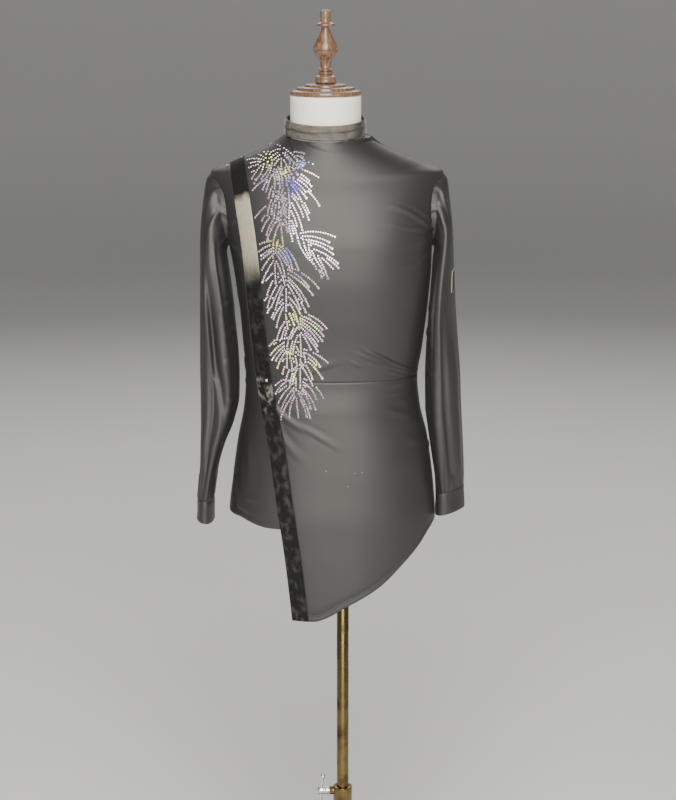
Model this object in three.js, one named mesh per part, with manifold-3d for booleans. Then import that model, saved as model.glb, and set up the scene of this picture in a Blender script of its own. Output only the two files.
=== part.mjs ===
// A long-sleeved latin dance shirt in black stretch satin on a limbless dress form with a telescopic stand.
// Millimetres, +Z up. The wearer faces -Y, so the wearer's right is at -X. The origin is on the floor,
// on the axis of the pole.
import * as THREE from "three";
import { mergeVertices } from "three/addons/utils/BufferGeometryUtils.js";
import Module from "manifold-3d";

const wasm = await Module();
wasm.setup();

// Driving dimensions of the cloth
const CLOTH = 1.5; // wall that stands for the stretch satin
const VELVET = 1.9; // wall of the velvet band and collar, which has a pile
const SEAM = 0.3; // gap between two pieces that are sewn edge to edge
const WAIST_SEAM = 1120; // height of the seam across the front
const HEM = 850; // height of the level hem round the back and the wearer's right
const HEM_RISE = 13; // the level hem is drawn up this far at the wearer's right side
const HEM_WAVE = 5; // how far the long front panel flares out in waves at its hem
const NECKLINE = 1553; // height of the neckline at the side of the neck
const NECK_TILT = 0.13; // the neckline is this much lower in front for each millimetre forwards
const TILT_START = 1440; // height above which the sections of the body begin to tip forwards
const UNDERLAP = 34; // how far the short right front runs on behind the long front panel
const OVERLAY = 3.2; // how far the long front panel stands off the short right front
const BAND_WIDTH = 27;
const COLLAR_HEIGHT = 27;
const COLLAR_LAP = 0.5; // how far the collar's ends lap, in radians
const COLLAR_END = 2.6; // angle of the collar's outer end, round from the wearer's left
const COLLAR_LEAN = 1; // how far the collar's top leans in
const CUFF_HEIGHT = 42;
const CUFF_WALL = 1.8; // the cuff is cut double
const PATCH = { fromAngle: 0.05, toAngle: 0.5, fromStep: 5.05, toStep: 5.85, thickness: 0.8 };

// Driving dimensions of the dress form and its stand
const NECK_TOP = 1622;
const NECK_RADIUS = 63.5;
const NECK_X = -31;
const FORM_BOTTOM = 866;
const SOCKET_HEIGHT = 14;
const SOCKET_WALL = 9;
const TUBE_WALL = 1.2;
const MAST_RADIUS = 11.2; // the sliding upper tube
const MAST_FOOT = 110;
const MAST_TOP = 941;
const POST_RADIUS = 13; // the lower tube
const POST_TOP = 292;
const POST_FOOT = 9;
const BASE_RADIUS = 165;
const CLAMP_TOP = 307;
const CLAMP_BOTTOM = 262;
const CLAMP_RADIUS = 18;
const CLAMP_EDGE = 1.5; // how much narrower the clamp is at its rounded ends
const BOSS_RADIUS = 8;
const BOSS_LENGTH = 7;
const SCREW_HEIGHT = 297;
const SCREW_RADIUS = 4;
const KNOB_RADIUS = 7.5;
const BAR_X = -41;
const BAR_HALF = 29;
const BAR_RADIUS = 2.6;
const BAR_LEAN = 3; // how far each end of the bar lies from upright
const BALL_RADIUS = 4.4;
const HALF_TURN = Math.PI;

// Sections of the worn shirt: the middle of the section, its half width, its depth to the front and to the
// back, its squareness, and how far inside the cloth the dress form stays.
const BODY = [
  { z: 660, middle: -20, side: 192, front: 122, back: 116, square: 2.5, ease: 9 },
  { z: 850, middle: -20, side: 190, front: 122, back: 114, square: 2.5, ease: 9 },
  { z: 930, middle: -18.5, side: 183, front: 117, back: 111, square: 2.5, ease: 6 },
  { z: 1000, middle: -18.5, side: 173, front: 111, back: 102, square: 2.45, ease: 5 },
  { z: 1060, middle: -20, side: 160, front: 106, back: 94, square: 2.4, ease: 4 },
  { z: 1110, middle: -21, side: 156, front: 104, back: 91, square: 2.4, ease: 4 },
  { z: 1170, middle: -18.5, side: 162, front: 107, back: 95, square: 2.45, ease: 4 },
  { z: 1240, middle: -17, side: 169, front: 115, back: 102, square: 2.55, ease: 3.5 },
  { z: 1310, middle: -19, side: 177, front: 121, back: 110, square: 2.65, ease: 3.2 },
  { z: 1360, middle: -22.5, side: 182, front: 120, back: 113, square: 2.75, ease: 3.2 },
  { z: 1410, middle: -25, side: 190, front: 111, back: 112, square: 2.6, ease: 3 },
  { z: 1450, middle: -27, side: 199, front: 99, back: 104, square: 2.25, ease: 3 },
  { z: 1485, middle: -28.5, side: 208, front: 85, back: 92, square: 1.9, ease: 2.8 },
  { z: 1500, middle: -29.5, side: 174, front: 81, back: 87, square: 1.9, ease: 2.8 },
  { z: 1518, middle: -30, side: 133, front: 76, back: 81, square: 1.92, ease: 2.8 },
  { z: 1538, middle: -30.5, side: 92, front: 71.5, back: 72.5, square: 1.95, ease: 2.6 },
  { z: 1553, middle: -31, side: 70, front: 67.5, back: 66, square: 2, ease: 2.6 },
];

// The armhole is an upright oval on the side of the body
const ARMHOLE = { middle: 1418, half: 66, reach: 50, steps: 12 };

// Middle line of the velvet band, from the tip of the hem to the shoulder
const BAND = [
  { z: 670, x: -76 },
  { z: 795, x: -90 },
  { z: 906, x: -106 },
  { z: 1015, x: -121 },
  { z: 1120, x: -142 },
  { z: 1177, x: -149 },
  { z: 1268, x: -157 },
  { z: 1358, x: -165 },
  { z: 1444, x: -178 },
  { z: 1530, x: -193 },
];

// Curved hem of the long front panel, from the tip to the wearer's left side
const LONG_HEM = [
  { x: -95, z: 681 },
  { x: -56, z: 679 },
  { x: 13, z: 711 },
  { x: 67, z: 743 },
  { x: 113, z: 786 },
  { x: 140, z: 815 },
  { x: 156, z: 836 },
  { x: 172, z: 850 },
];

// Sleeves hang empty and flattened, with their wide way from front to back. Each row gives the outer and
// the inner line of the sleeve, as the distance from the pole's axis and the height, then half its width
// from front to back, the middle of that width, and the squareness of the section.
const RIGHT_SLEEVE = [
  { outerX: 234, outerZ: 1482.2, innerX: 207, innerZ: 1353.8, half: 48.2, y: 0, square: 2 },
  { outerX: 242, outerZ: 1473, innerX: 211, innerZ: 1353.6, half: 48.6, y: 0, square: 2 },
  { outerX: 249, outerZ: 1443, innerX: 212.5, innerZ: 1343, half: 57, y: -2, square: 2.1 },
  { outerX: 253.5, outerZ: 1408, innerX: 211.5, innerZ: 1333, half: 61, y: -3, square: 2.25 },
  { outerX: 256.5, outerZ: 1365, innerX: 209.5, innerZ: 1318, half: 64, y: -4, square: 2.5 },
  { outerX: 257.5, outerZ: 1318, innerX: 206, innerZ: 1293, half: 66, y: -5, square: 2.65 },
  { outerX: 258.5, outerZ: 1264, innerX: 201.5, innerZ: 1256, half: 66, y: -6, square: 2.75 },
  { outerX: 259, outerZ: 1210, innerX: 197, innerZ: 1210, half: 65, y: -7, square: 2.8 },
  { outerX: 259.5, outerZ: 1165, innerX: 192.5, innerZ: 1165, half: 63, y: -8, square: 2.8 },
  { outerX: 260, outerZ: 1120, innerX: 190.5, innerZ: 1120, half: 61, y: -9, square: 2.8 },
  { outerX: 260, outerZ: 1075, innerX: 191.5, innerZ: 1075, half: 60, y: -10, square: 2.75 },
  { outerX: 260, outerZ: 1035, innerX: 200, innerZ: 1035, half: 60, y: -11, square: 2.7 },
  { outerX: 261, outerZ: 990, innerX: 218, innerZ: 990, half: 60, y: -12, square: 2.6 },
  { outerX: 262, outerZ: 952, innerX: 229, innerZ: 952, half: 58, y: -13, square: 2.5 },
  { outerX: 264, outerZ: 920, innerX: 235, innerZ: 918, half: 53, y: -14, square: 2.4 },
  { outerX: 267, outerZ: 890, innerX: 240, innerZ: 886, half: 46, y: -15, square: 2.3 },
];
const LEFT_SLEEVE = [
  { outerX: 177, outerZ: 1482.2, innerX: 159, innerZ: 1353.8, half: 48.2, y: 0, square: 2 },
  { outerX: 184.5, outerZ: 1473, innerX: 165.5, innerZ: 1353.6, half: 48.6, y: 0, square: 2 },
  { outerX: 190, outerZ: 1440, innerX: 167, innerZ: 1342, half: 57, y: -2, square: 2.1 },
  { outerX: 195, outerZ: 1404, innerX: 165.5, innerZ: 1332, half: 62, y: -3, square: 2.15 },
  { outerX: 198.5, outerZ: 1360, innerX: 163.5, innerZ: 1317, half: 65, y: -4, square: 2.2 },
  { outerX: 201, outerZ: 1315, innerX: 161.2, innerZ: 1292, half: 67, y: -5, square: 2.2 },
  { outerX: 204, outerZ: 1264, innerX: 158.2, innerZ: 1256, half: 68, y: -6, square: 2.2 },
  { outerX: 207.5, outerZ: 1210, innerX: 155, innerZ: 1210, half: 67, y: -7, square: 2.2 },
  { outerX: 211, outerZ: 1165, innerX: 152.5, innerZ: 1165, half: 65, y: -8, square: 2.2 },
  { outerX: 214.5, outerZ: 1120, innerX: 151, innerZ: 1120, half: 63, y: -9, square: 2.15 },
  { outerX: 217, outerZ: 1065, innerX: 152, innerZ: 1065, half: 61, y: -10, square: 2.1 },
  { outerX: 219.5, outerZ: 1020, innerX: 157, innerZ: 1020, half: 59, y: -11, square: 2.1 },
  { outerX: 222, outerZ: 974, innerX: 164.5, innerZ: 972, half: 54, y: -12, square: 2.1 },
  { outerX: 223.5, outerZ: 942, innerX: 170, innerZ: 937, half: 48, y: -13, square: 2.1 },
  { outerX: 224, outerZ: 923, innerX: 172, innerZ: 916, half: 43, y: -14, square: 2.05 },
  { outerX: 223.5, outerZ: 907, innerX: 172.5, innerZ: 898, half: 38, y: -15, square: 2 },
];

// The largest folds of a sleeve: where each lies round the sleeve, how wide it is in radians, how far the
// cloth goes in or out, and the rows of the table above between which it runs.
const RIGHT_FOLDS = [
  { angle: 0.5, width: 0.26, depth: -5, from: 4, to: 14 },
  { angle: 0.95, width: 0.24, depth: 3, from: 3, to: 14 },
  { angle: 1.4, width: 0.22, depth: -6, from: 5, to: 15 },
  { angle: 1.9, width: 0.28, depth: 3, from: 4, to: 13 },
  { angle: 2.5, width: 0.3, depth: -6, from: 5, to: 13 },
  { angle: 3.9, width: 0.36, depth: -7, from: 5, to: 14 },
  { angle: 5.1, width: 0.3, depth: -8, from: 3, to: 13 },
  { angle: 5.8, width: 0.25, depth: 4, from: 5, to: 13 },
];
const LEFT_FOLDS = [
  { angle: 0.5, width: 0.26, depth: 4, from: 7, to: 15 },
  { angle: 0.95, width: 0.28, depth: -6, from: 6, to: 15 },
  { angle: 2.2, width: 0.32, depth: -5, from: 6, to: 13 },
  { angle: 4.1, width: 0.34, depth: -7, from: 5, to: 13 },
  { angle: 5.3, width: 0.3, depth: -8, from: 4, to: 14 },
];

// The front edge of each empty sleeve hangs this much nearer to the body than its middle
const RIGHT_LEAN = 0;
const LEFT_LEAN = 13;

// The turned wooden cap on the neck, and the finial on it: radius and height above the neck
const CAP = [
  { r: 61.5, z: 0.3 },
  { r: 63.5, z: 4 },
  { r: 61.5, z: 9 },
  { r: 52, z: 10 },
  { r: 51, z: 15 },
  { r: 38, z: 16 },
  { r: 36.5, z: 20 },
  { r: 19, z: 21 },
];
const FINIAL = [
  { r: 17, z: 21.3 },
  { r: 18.5, z: 24 },
  { r: 18.5, z: 33 },
  { r: 12, z: 36 },
  { r: 13, z: 39.5 },
  { r: 10.5, z: 42 },
  { r: 13.5, z: 44.5 },
  { r: 10.5, z: 47.5 },
  { r: 9.3, z: 52 },
  { r: 12, z: 63 },
  { r: 20.5, z: 75 },
  { r: 24.2, z: 81 },
  { r: 22, z: 86 },
  { r: 14, z: 98 },
  { r: 7, z: 115 },
  { r: 7.2, z: 120 },
  { r: 16, z: 122 },
  { r: 16.4, z: 126 },
  { r: 9, z: 129 },
  { r: 9.6, z: 138 },
  { r: 8, z: 147 },
  { r: 4, z: 150 },
];
const BASE = [
  { r: 0, z: 0 },
  { r: BASE_RADIUS - 2, z: 0 },
  { r: BASE_RADIUS, z: 2 },
  { r: BASE_RADIUS, z: 5 },
  { r: BASE_RADIUS - 3, z: 7.5 },
  { r: 60, z: 10 },
  { r: 26, z: 14 },
  { r: 20, z: 20 },
  { r: 19, z: 40 },
  { r: POST_RADIUS + SEAM, z: 41 },
  { r: POST_RADIUS + SEAM, z: POST_FOOT - SEAM },
  { r: 0, z: POST_FOOT - SEAM },
];

// A smooth line through one column of a table, which never overshoots the rows
function column(rows, along, name) {
  const t = rows.map((row) => row[along]);
  const v = rows.map((row) => row[name]);
  const slope = t.slice(1).map((end, i) => (v[i + 1] - v[i]) / (end - t[i]));
  const tangent = t.map((_, i) => {
    const before = slope[Math.max(i - 1, 0)];
    const after = slope[Math.min(i, slope.length - 1)];
    return before * after <= 0 ? 0 : (2 * before * after) / (before + after);
  });
  return (x) => {
    let i = 0;
    while (i < slope.length - 1 && x > t[i + 1]) i += 1;
    const width = t[i + 1] - t[i];
    const s = THREE.MathUtils.clamp((x - t[i]) / width, 0, 1);
    const ends = v[i] * (1 + 2 * s) * (1 - s) ** 2 + v[i + 1] * s * s * (3 - 2 * s);
    return ends + width * (tangent[i] * s * (1 - s) ** 2 + tangent[i + 1] * s * s * (s - 1));
  };
}

const { lerp, clamp, smoothstep } = THREE.MathUtils;
const middle = column(BODY, "z", "middle");
const side = column(BODY, "z", "side");
const front = column(BODY, "z", "front");
const back = column(BODY, "z", "back");
const square = column(BODY, "z", "square");
const ease = column(BODY, "z", "ease");
const bandX = column(BAND, "z", "x");
const longHem = column(LONG_HEM, "x", "z");

const signedPower = (value, power) => Math.sign(value) * Math.abs(value) ** power;

// A point of the body's surface. Angle 0 is the wearer's left side, a quarter turn is the front, half a
// turn is the wearer's right side and three quarters is the back.
function body(angle, z) {
  const power = 2 / square(z);
  const depth = Math.sin(angle) > 0 ? front(z) : back(z);
  const x = middle(z) + side(z) * signedPower(Math.cos(angle), power);
  const y = -depth * signedPower(Math.sin(angle), power);
  const tilt = NECK_TILT * smoothstep(z, TILT_START, NECKLINE);
  return new THREE.Vector3(x, y, z + tilt * y);
}

// The same point, moved out along the surface's own normal
function offBody(angle, z, out) {
  const step = 1e-3;
  const round = body(angle + step, z).sub(body(angle - step, z));
  const low = Math.min(z, NECKLINE - 1);
  const up = body(angle, low + 1).sub(body(angle, low));
  return body(angle, z).addScaledVector(round.cross(up).normalize(), -out);
}

// The angle on the front at which the body has this x, and the angle that spans a distance
const frontAngle = (x, z) => Math.acos(signedPower(clamp((x - middle(z)) / side(z), -1, 1), square(z) / 2));
function arc(angle, z, distance) {
  const step = 5e-3;
  return (distance / body(angle + step, z).distanceTo(body(angle - step, z))) * 2 * step;
}

// How far the armhole reaches round from the side of the body at height z, as an angle
function armAngle(z, depth) {
  const share = (z - ARMHOLE.middle) / ARMHOLE.half;
  if (Math.abs(share) >= 1) return 0;
  const y = ARMHOLE.reach * Math.sqrt(1 - share * share);
  return Math.asin(Math.min(1, (y / depth(z)) ** (square(z) / 2)));
}

// Height at which the velvet band meets the shoulder, for a line at this share of its width
function bandTop(share) {
  let z = ARMHOLE.middle + ARMHOLE.half;
  while (z < NECKLINE && bandX(z) + share * BAND_WIDTH > middle(z) - side(z) + 3) z += 0.5;
  return z;
}

// The angle of a line that runs along the band, at this share of its width from the middle
const bandLine = (z, share, gap = 0) => frontAngle(bandX(z) + share * BAND_WIDTH + gap, z);

// Evenly spaced heights, and the heights at which the panels have their rows of points
const evenly = (from, to, count) =>
  Array.from({ length: count + 1 }, (_, i) => lerp(from, to, i / count));
const lowerLevels = evenly(HEM, WAIST_SEAM - SEAM / 2, 8);
const armholeLevels = Array.from({ length: ARMHOLE.steps + 1 }, (_, i) => {
  return ARMHOLE.middle - ARMHOLE.half * Math.cos((Math.PI * i) / ARMHOLE.steps);
});
const sideLevels = evenly(WAIST_SEAM + SEAM / 2, armholeLevels[0], 6);
const shoulderLevels = [1491, 1500, 1510, 1524, 1538, NECKLINE - SEAM];
const upperLevels = [...sideLevels, ...armholeLevels.slice(1), ...shoulderLevels];

// A geometry with its faces turned outwards
function closed(positions, index) {
  const corner = (i) => new THREE.Vector3().fromArray(positions, 3 * i);
  let volume = 0;
  for (let i = 0; i < index.length; i += 3) {
    volume += corner(index[i]).dot(corner(index[i + 1]).cross(corner(index[i + 2])));
  }
  if (volume < 0) index.reverse();
  const geometry = new THREE.BufferGeometry();
  geometry.setAttribute("position", new THREE.Float32BufferAttribute(positions, 3));
  geometry.setIndex(index);
  return geometry;
}

// A closed wall from a grid of points, for each of which at(i, j) gives an inner and an outer place.
// The last column of a round wall meets its first.
function wall(columns, rows, at, round = false) {
  const across = round ? columns : columns + 1;
  const count = across * (rows + 1);
  const places = Array.from({ length: count }, (_, n) => at(n % across, Math.floor(n / across)));
  const inside = places.flatMap((place) => place.inner.toArray());
  const outside = places.flatMap((place) => place.outer.toArray());
  const inner = (i, j) => j * across + (i % across);
  const outer = (i, j) => inner(i, j) + count;
  const index = [];
  const face = (a, b, c, d) => index.push(a, b, c, a, c, d);
  for (let j = 0; j < rows; j += 1) {
    for (let i = 0; i < columns; i += 1) {
      face(outer(i, j), outer(i + 1, j), outer(i + 1, j + 1), outer(i, j + 1));
      face(inner(i, j), inner(i, j + 1), inner(i + 1, j + 1), inner(i + 1, j));
    }
  }
  for (let i = 0; i < columns; i += 1) {
    face(inner(i, 0), inner(i + 1, 0), outer(i + 1, 0), outer(i, 0));
    face(outer(i, rows), outer(i + 1, rows), inner(i + 1, rows), inner(i, rows));
  }
  for (let j = 0; j < rows && !round; j += 1) {
    face(inner(0, j + 1), inner(0, j), outer(0, j), outer(0, j + 1));
    face(inner(columns, j), inner(columns, j + 1), outer(columns, j + 1), outer(columns, j));
  }
  return closed([...inside, ...outside], index);
}

// A solid from a stack of rings with as many points each, closed by a fan at both ends
function loft(rings) {
  const across = rings[0].length;
  const last = (rings.length - 1) * across;
  const first = rings.length * across;
  const centreOf = (ring) => ring.reduce((sum, p) => sum.add(p), new THREE.Vector3()).divideScalar(across);
  const points = [...rings.flat(), centreOf(rings[0]), centreOf(rings[rings.length - 1])];
  const index = [];
  for (let i = 0; i < across; i += 1) {
    const next = (i + 1) % across;
    for (let a = 0; a < last; a += across) {
      index.push(a + i, a + next, a + across + next, a + i, a + across + next, a + across + i);
    }
    index.push(first, next, i, first + 1, last + i, last + next);
  }
  return closed(points.flatMap((point) => point.toArray()), index);
}

// A panel of the shirt between two lines that run up the body. heightAt moves a row up or down across
// the panel's width, and lift says how far the cloth stands off the body.
function panel({ levels, columns, from, to, thickness = CLOTH, lift = () => 0, heightAt = null }) {
  return wall(columns, levels.length - 1, (i, j) => {
    const share = i / columns;
    const angleAt = (height) => lerp(from(height), to(height), share);
    const z = heightAt ? heightAt(levels[j], share, angleAt) : levels[j];
    const out = lift(share, z);
    return { inner: offBody(angleAt(z), z, out), outer: offBody(angleAt(z), z, out + thickness) };
  });
}

// Turning a profile with rows of radius and height round the vertical axis
function turned(profile, segments = 36) {
  const points = profile.map(({ r, z }) => new THREE.Vector2(r, z));
  if (profile[0].r > 0) points.unshift(new THREE.Vector2(0, profile[0].z));
  if (profile[profile.length - 1].r > 0) points.push(new THREE.Vector2(0, profile[profile.length - 1].z));
  return new THREE.LatheGeometry(points, segments).rotateX(Math.PI / 2);
}

function tube(innerRadius, outerRadius, bottom, top, segments = 24) {
  const profile = [
    [innerRadius, bottom],
    [outerRadius, bottom],
    [outerRadius, top],
    [innerRadius, top],
    [innerRadius, bottom],
  ];
  const points = profile.map(([r, z]) => new THREE.Vector2(r, z));
  return new THREE.LatheGeometry(points, segments).rotateX(Math.PI / 2);
}

// Joining and cutting of closed solids
function solid(geometry) {
  const bare = geometry.clone();
  bare.deleteAttribute("normal");
  bare.deleteAttribute("uv");
  const merged = mergeVertices(bare, 1e-4);
  return new wasm.Manifold(
    new wasm.Mesh({
      numProp: 3,
      vertProperties: new Float32Array(merged.attributes.position.array),
      triVerts: new Uint32Array(merged.index.array),
    }),
  );
}
function unsolid(manifold) {
  const mesh = manifold.getMesh();
  const geometry = new THREE.BufferGeometry();
  geometry.setAttribute("position", new THREE.Float32BufferAttribute(mesh.vertProperties, 3));
  geometry.setIndex(Array.from(mesh.triVerts));
  return geometry;
}
function rod(radius, from, to, segments = 14) {
  const length = from.distanceTo(to);
  const turn = new THREE.Quaternion().setFromUnitVectors(
    new THREE.Vector3(0, 1, 0),
    to.clone().sub(from).normalize(),
  );
  const middlePoint = from.clone().lerp(to, 0.5);
  return new THREE.CylinderGeometry(radius, radius, length, segments)
    .applyQuaternion(turn)
    .translate(middlePoint.x, middlePoint.y, middlePoint.z);
}

const finish = (color, roughness, metalness = 0) =>
  new THREE.MeshStandardMaterial({ color, roughness, metalness });
const satin = finish(0x1b1b1d, 0.45);
const velvet = finish(0x0e0d0e, 0.85);
const ivory = finish(0xf3ecd6, 0.8);
const wood = finish(0x6b4230, 0.45);
const brass = finish(0xb08d3c, 0.3, 1);
const silver = finish(0xb9bcc2, 0.35, 1);
const labelCloth = finish(0x3a3a3e, 0.5);

const model = new THREE.Group();
function add(name, geometry, material) {
  const mesh = new THREE.Mesh(geometry, material);
  mesh.name = name;
  model.add(mesh);
}

// Edges of the body panels
const seamGap = (z) => arc(0.05, z, SEAM / 2);
const leftFront = (z) => Math.max(armAngle(z, front), seamGap(z));
const rightFront = (z) => HALF_TURN - leftFront(z);
const innerTop = bandTop(0.5);
const outerTop = bandTop(-0.5);
const beforeBand = (z) => (z < innerTop ? bandLine(z, 0.5, SEAM) : rightFront(z));
const lowTop = WAIST_SEAM - SEAM / 2;
const longHeight = (level, share, angleAt) => {
  let hem = HEM;
  for (let i = 0; i < 30; i += 1) hem = longHem(body(angleAt(hem), hem).x);
  return lerp(hem, lowTop, (level - HEM) / (lowTop - HEM));
};
const bandHeight = (level, share) => {
  const ridge = lerp(innerTop, outerTop, share);
  return Math.min(level, ridge - (innerTop - level) / 40);
};

// The long front panel stands off the short right front, and flares in soft waves towards its hem
const overlaid = (z) => OVERLAY * (1 - smoothstep(z, WAIST_SEAM - 60, WAIST_SEAM - 8));
const wave = (share, z) => HEM_WAVE * (1 - smoothstep(z, 700, 930)) * (0.5 - 0.5 * Math.cos(11 * share));

// The level hem is drawn up a little at the wearer's right side
const drawnUp = (angle) => HEM_RISE * smoothstep(Math.abs(angle), 2.1, 2.65);
const levelHem = (level, share, angleAt) =>
  level + drawnUp(angleAt(level)) * (1 - smoothstep(level, HEM, HEM + 160));

add(
  "front_upper",
  panel({ levels: upperLevels, columns: 14, from: leftFront, to: beforeBand }),
  satin,
);
add(
  "front_lower",
  panel({
    levels: lowerLevels,
    columns: 13,
    from: seamGap,
    to: (z) => bandLine(z, 0.5, SEAM),
    heightAt: longHeight,
    lift: (share, z) => overlaid(z) * smoothstep(share, 0.3, 0.8) + wave(share, z) * share,
  }),
  satin,
);

// The short right front runs behind the long front panel below the waist
const underlap = (z) => UNDERLAP * (1 - smoothstep(z, WAIST_SEAM - 110, WAIST_SEAM - 50));
const outerBand = (z) => bandLine(z, -0.5, -SEAM) - arc(2.2, z, underlap(z));
const rightLevels = [...lowerLevels, ...upperLevels.filter((z) => z < outerTop - 6)];
add(
  "front_right",
  panel({ levels: rightLevels, columns: 7, from: outerBand, to: rightFront, heightAt: levelHem }),
  satin,
);

const backLevels = [...lowerLevels.slice(0, -1), WAIST_SEAM, ...upperLevels.slice(1)];
const backEdge = (z) => Math.max(armAngle(z, back), seamGap(z));
add(
  "back",
  panel({
    levels: backLevels,
    columns: 22,
    from: (z) => -backEdge(z),
    to: (z) => -HALF_TURN + backEdge(z),
    heightAt: levelHem,
  }),
  satin,
);

// The velvet band, in two lengths that meet at the waist seam
const band = { columns: 3, thickness: VELVET, from: (z) => bandLine(z, 0.5), to: (z) => bandLine(z, -0.5) };
add(
  "trim_upper",
  panel({
    ...band,
    levels: [...upperLevels.filter((z) => z < innerTop - 3), innerTop],
    heightAt: bandHeight,
  }),
  velvet,
);
add(
  "trim_lower",
  panel({
    ...band,
    levels: lowerLevels,
    heightAt: longHeight,
    lift: (share, z) => overlaid(z) + wave(1, z),
  }),
  velvet,
);

// The collar stands on the neckline, and its outer end laps over its inner end
const collarColumns = 44;
const collarRows = 2;
add(
  "collar",
  wall(collarColumns, collarRows, (i, j) => {
    const share = i / collarColumns;
    const angle = COLLAR_END + COLLAR_LAP - share * (2 * HALF_TURN + COLLAR_LAP);
    const base = body(angle, NECKLINE);
    const lapped = (VELVET + SEAM + 0.2) * smoothstep(share, 0.78, 0.92);
    const lean = (j / collarRows) * COLLAR_LEAN;
    const out = new THREE.Vector3(base.x - NECK_X, base.y, 0).normalize();
    const height = CLOTH + SEAM + (j / collarRows) * COLLAR_HEIGHT;
    const place = (far) => base.clone().addScaledVector(out, far - lean).setZ(base.z + height);
    return { inner: place(lapped), outer: place(lapped + VELVET) };
  }),
  velvet,
);

const sleeveColumns = 2 * ARMHOLE.steps;
function makeSleeve(sign, rows, folds, lean) {
  const table = rows.map((row, step) => ({ ...row, step }));
  const line = (name) => column(table, "step", name);
  const [outerX, outerZ, innerX, innerZ] = ["outerX", "outerZ", "innerX", "innerZ"].map(line);
  const [halfWidth, middleY, squareness] = ["half", "y", "square"].map(line);
  const sideX = (z, y) => {
    const depth = y < 0 ? front(z) : back(z);
    return side(z) * (1 - (Math.abs(y) / depth) ** square(z)) ** (1 / square(z)) + sign * middle(z);
  };
  const startMiddle = (outerX(0) + innerX(0)) / 2;
  const startSpan = (outerX(0) - innerX(0)) / 2;
  const startHalf = halfWidth(0);
  const point = (angle, step) => {
    const power = 2 / squareness(step);
    const w = signedPower(Math.cos(angle), power);
    const v = signedPower(Math.sin(angle), power);
    const leaning = lean * smoothstep(step, 3, 7);
    const spanX = Math.sqrt(((outerX(step) - innerX(step)) / 2) ** 2 - leaning ** 2);
    const spanZ = (outerZ(step) - innerZ(step)) / 2;
    let x = (outerX(step) + innerX(step)) / 2 + spanX * w - leaning * v;
    let y = middleY(step) - halfWidth(step) * v;
    const z = (outerZ(step) + innerZ(step)) / 2 + spanZ * w;
    const armholeX = sideX(ARMHOLE.middle + (ARMHOLE.half - CLOTH - SEAM) * w, -startHalf * v);
    x += (armholeX - startMiddle - startSpan * w) * (1 - smoothstep(step, 0, 3));
    const normal = new THREE.Vector2(Math.cos(angle) / spanX, Math.sin(angle) / halfWidth(step)).normalize();
    for (const fold of folds) {
      const start = smoothstep(step, fold.from, fold.from + 2.5);
      const end = 1 - smoothstep(step, fold.to - 2.5, fold.to);
      const push = fold.depth * start * end * Math.exp(-(((angle - fold.angle) / fold.width) ** 2));
      x += push * normal.x;
      y -= push * normal.y;
    }
    return new THREE.Vector3(sign * x, y, z);
  };
  const last = table.length - 1;
  const offset = (angle, step, out) => {
    const d = 1e-2;
    const round = point(angle + d, step).sub(point(angle - d, step));
    const low = clamp(step - d, 0, last - 2 * d);
    const along = point(angle, low + 2 * d).sub(point(angle, low));
    const normal = round.cross(along).normalize().multiplyScalar(sign);
    return point(angle, step).addScaledVector(normal, out);
  };
  return { offset, last };
}

const rightSleeve = makeSleeve(-1, RIGHT_SLEEVE, RIGHT_FOLDS, RIGHT_LEAN);
const leftSleeve = makeSleeve(1, LEFT_SLEEVE, LEFT_FOLDS, LEFT_LEAN);
const sleeveSteps = 17;
function sleeveWall(sleeve) {
  return wall(
    sleeveColumns,
    sleeveSteps,
    (i, j) => {
      const angle = (2 * HALF_TURN * i) / sleeveColumns;
      const step = (sleeve.last * j) / sleeveSteps;
      return { inner: sleeve.offset(angle, step, 0), outer: sleeve.offset(angle, step, CLOTH) };
    },
    true,
  );
}
add("sleeve_right", sleeveWall(rightSleeve), satin);
add("sleeve_left", sleeveWall(leftSleeve), satin);

// A cuff carries on from the last section of its sleeve
function cuffWall(sleeve) {
  return wall(
    sleeveColumns,
    2,
    (i, j) => {
      const angle = (2 * HALF_TURN * i) / sleeveColumns;
      const drop = SEAM + (CUFF_HEIGHT * j) / 2;
      const place = (out) => {
        const end = sleeve.offset(angle, sleeve.last, out);
        return end.setZ(end.z - drop);
      };
      return { inner: place(0), outer: place(CUFF_WALL) };
    },
    true,
  );
}
add("cuff_right", cuffWall(rightSleeve), satin);
add("cuff_left", cuffWall(leftSleeve), satin);

// A small plain patch on the outside of the wearer's left sleeve
add(
  "sleeve_patch",
  wall(4, 4, (i, j) => {
    const angle = lerp(PATCH.fromAngle, PATCH.toAngle, i / 4);
    const step = lerp(PATCH.fromStep, PATCH.toStep, j / 4);
    const out = CLOTH + SEAM + 0.2;
    return {
      inner: leftSleeve.offset(angle, step, out),
      outer: leftSleeve.offset(angle, step, out + PATCH.thickness),
    };
  }),
  labelCloth,
);

// The dress form is a smooth limbless torso with a neck, bored from below for the mast
const formColumns = 36;
const formLevels = [
  { z: FORM_BOTTOM, inset: 16 },
  { z: FORM_BOTTOM + 4, inset: 11 },
  ...evenly(FORM_BOTTOM + 14, armholeLevels[0], 11).map((z) => ({ z, inset: 0 })),
  ...armholeLevels.slice(1).map((z) => ({ z, inset: 0 })),
  ...shoulderLevels.map((z) => ({ z, inset: 0 })),
];
function formRing({ z, inset }) {
  return Array.from({ length: formColumns }, (_, i) => {
    const point = offBody((2 * HALF_TURN * (i + 0.37)) / formColumns, z, -ease(z) - inset);
    return inset > 0 ? point.setZ(z) : point;
  });
}
function neckRing({ z, radius, tilt }) {
  return Array.from({ length: formColumns }, (_, i) => {
    const angle = (2 * HALF_TURN * (i + 0.37)) / formColumns;
    const y = -radius * Math.sin(angle);
    return new THREE.Vector3(NECK_X + radius * Math.cos(angle), y, z + tilt * y);
  });
}
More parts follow.
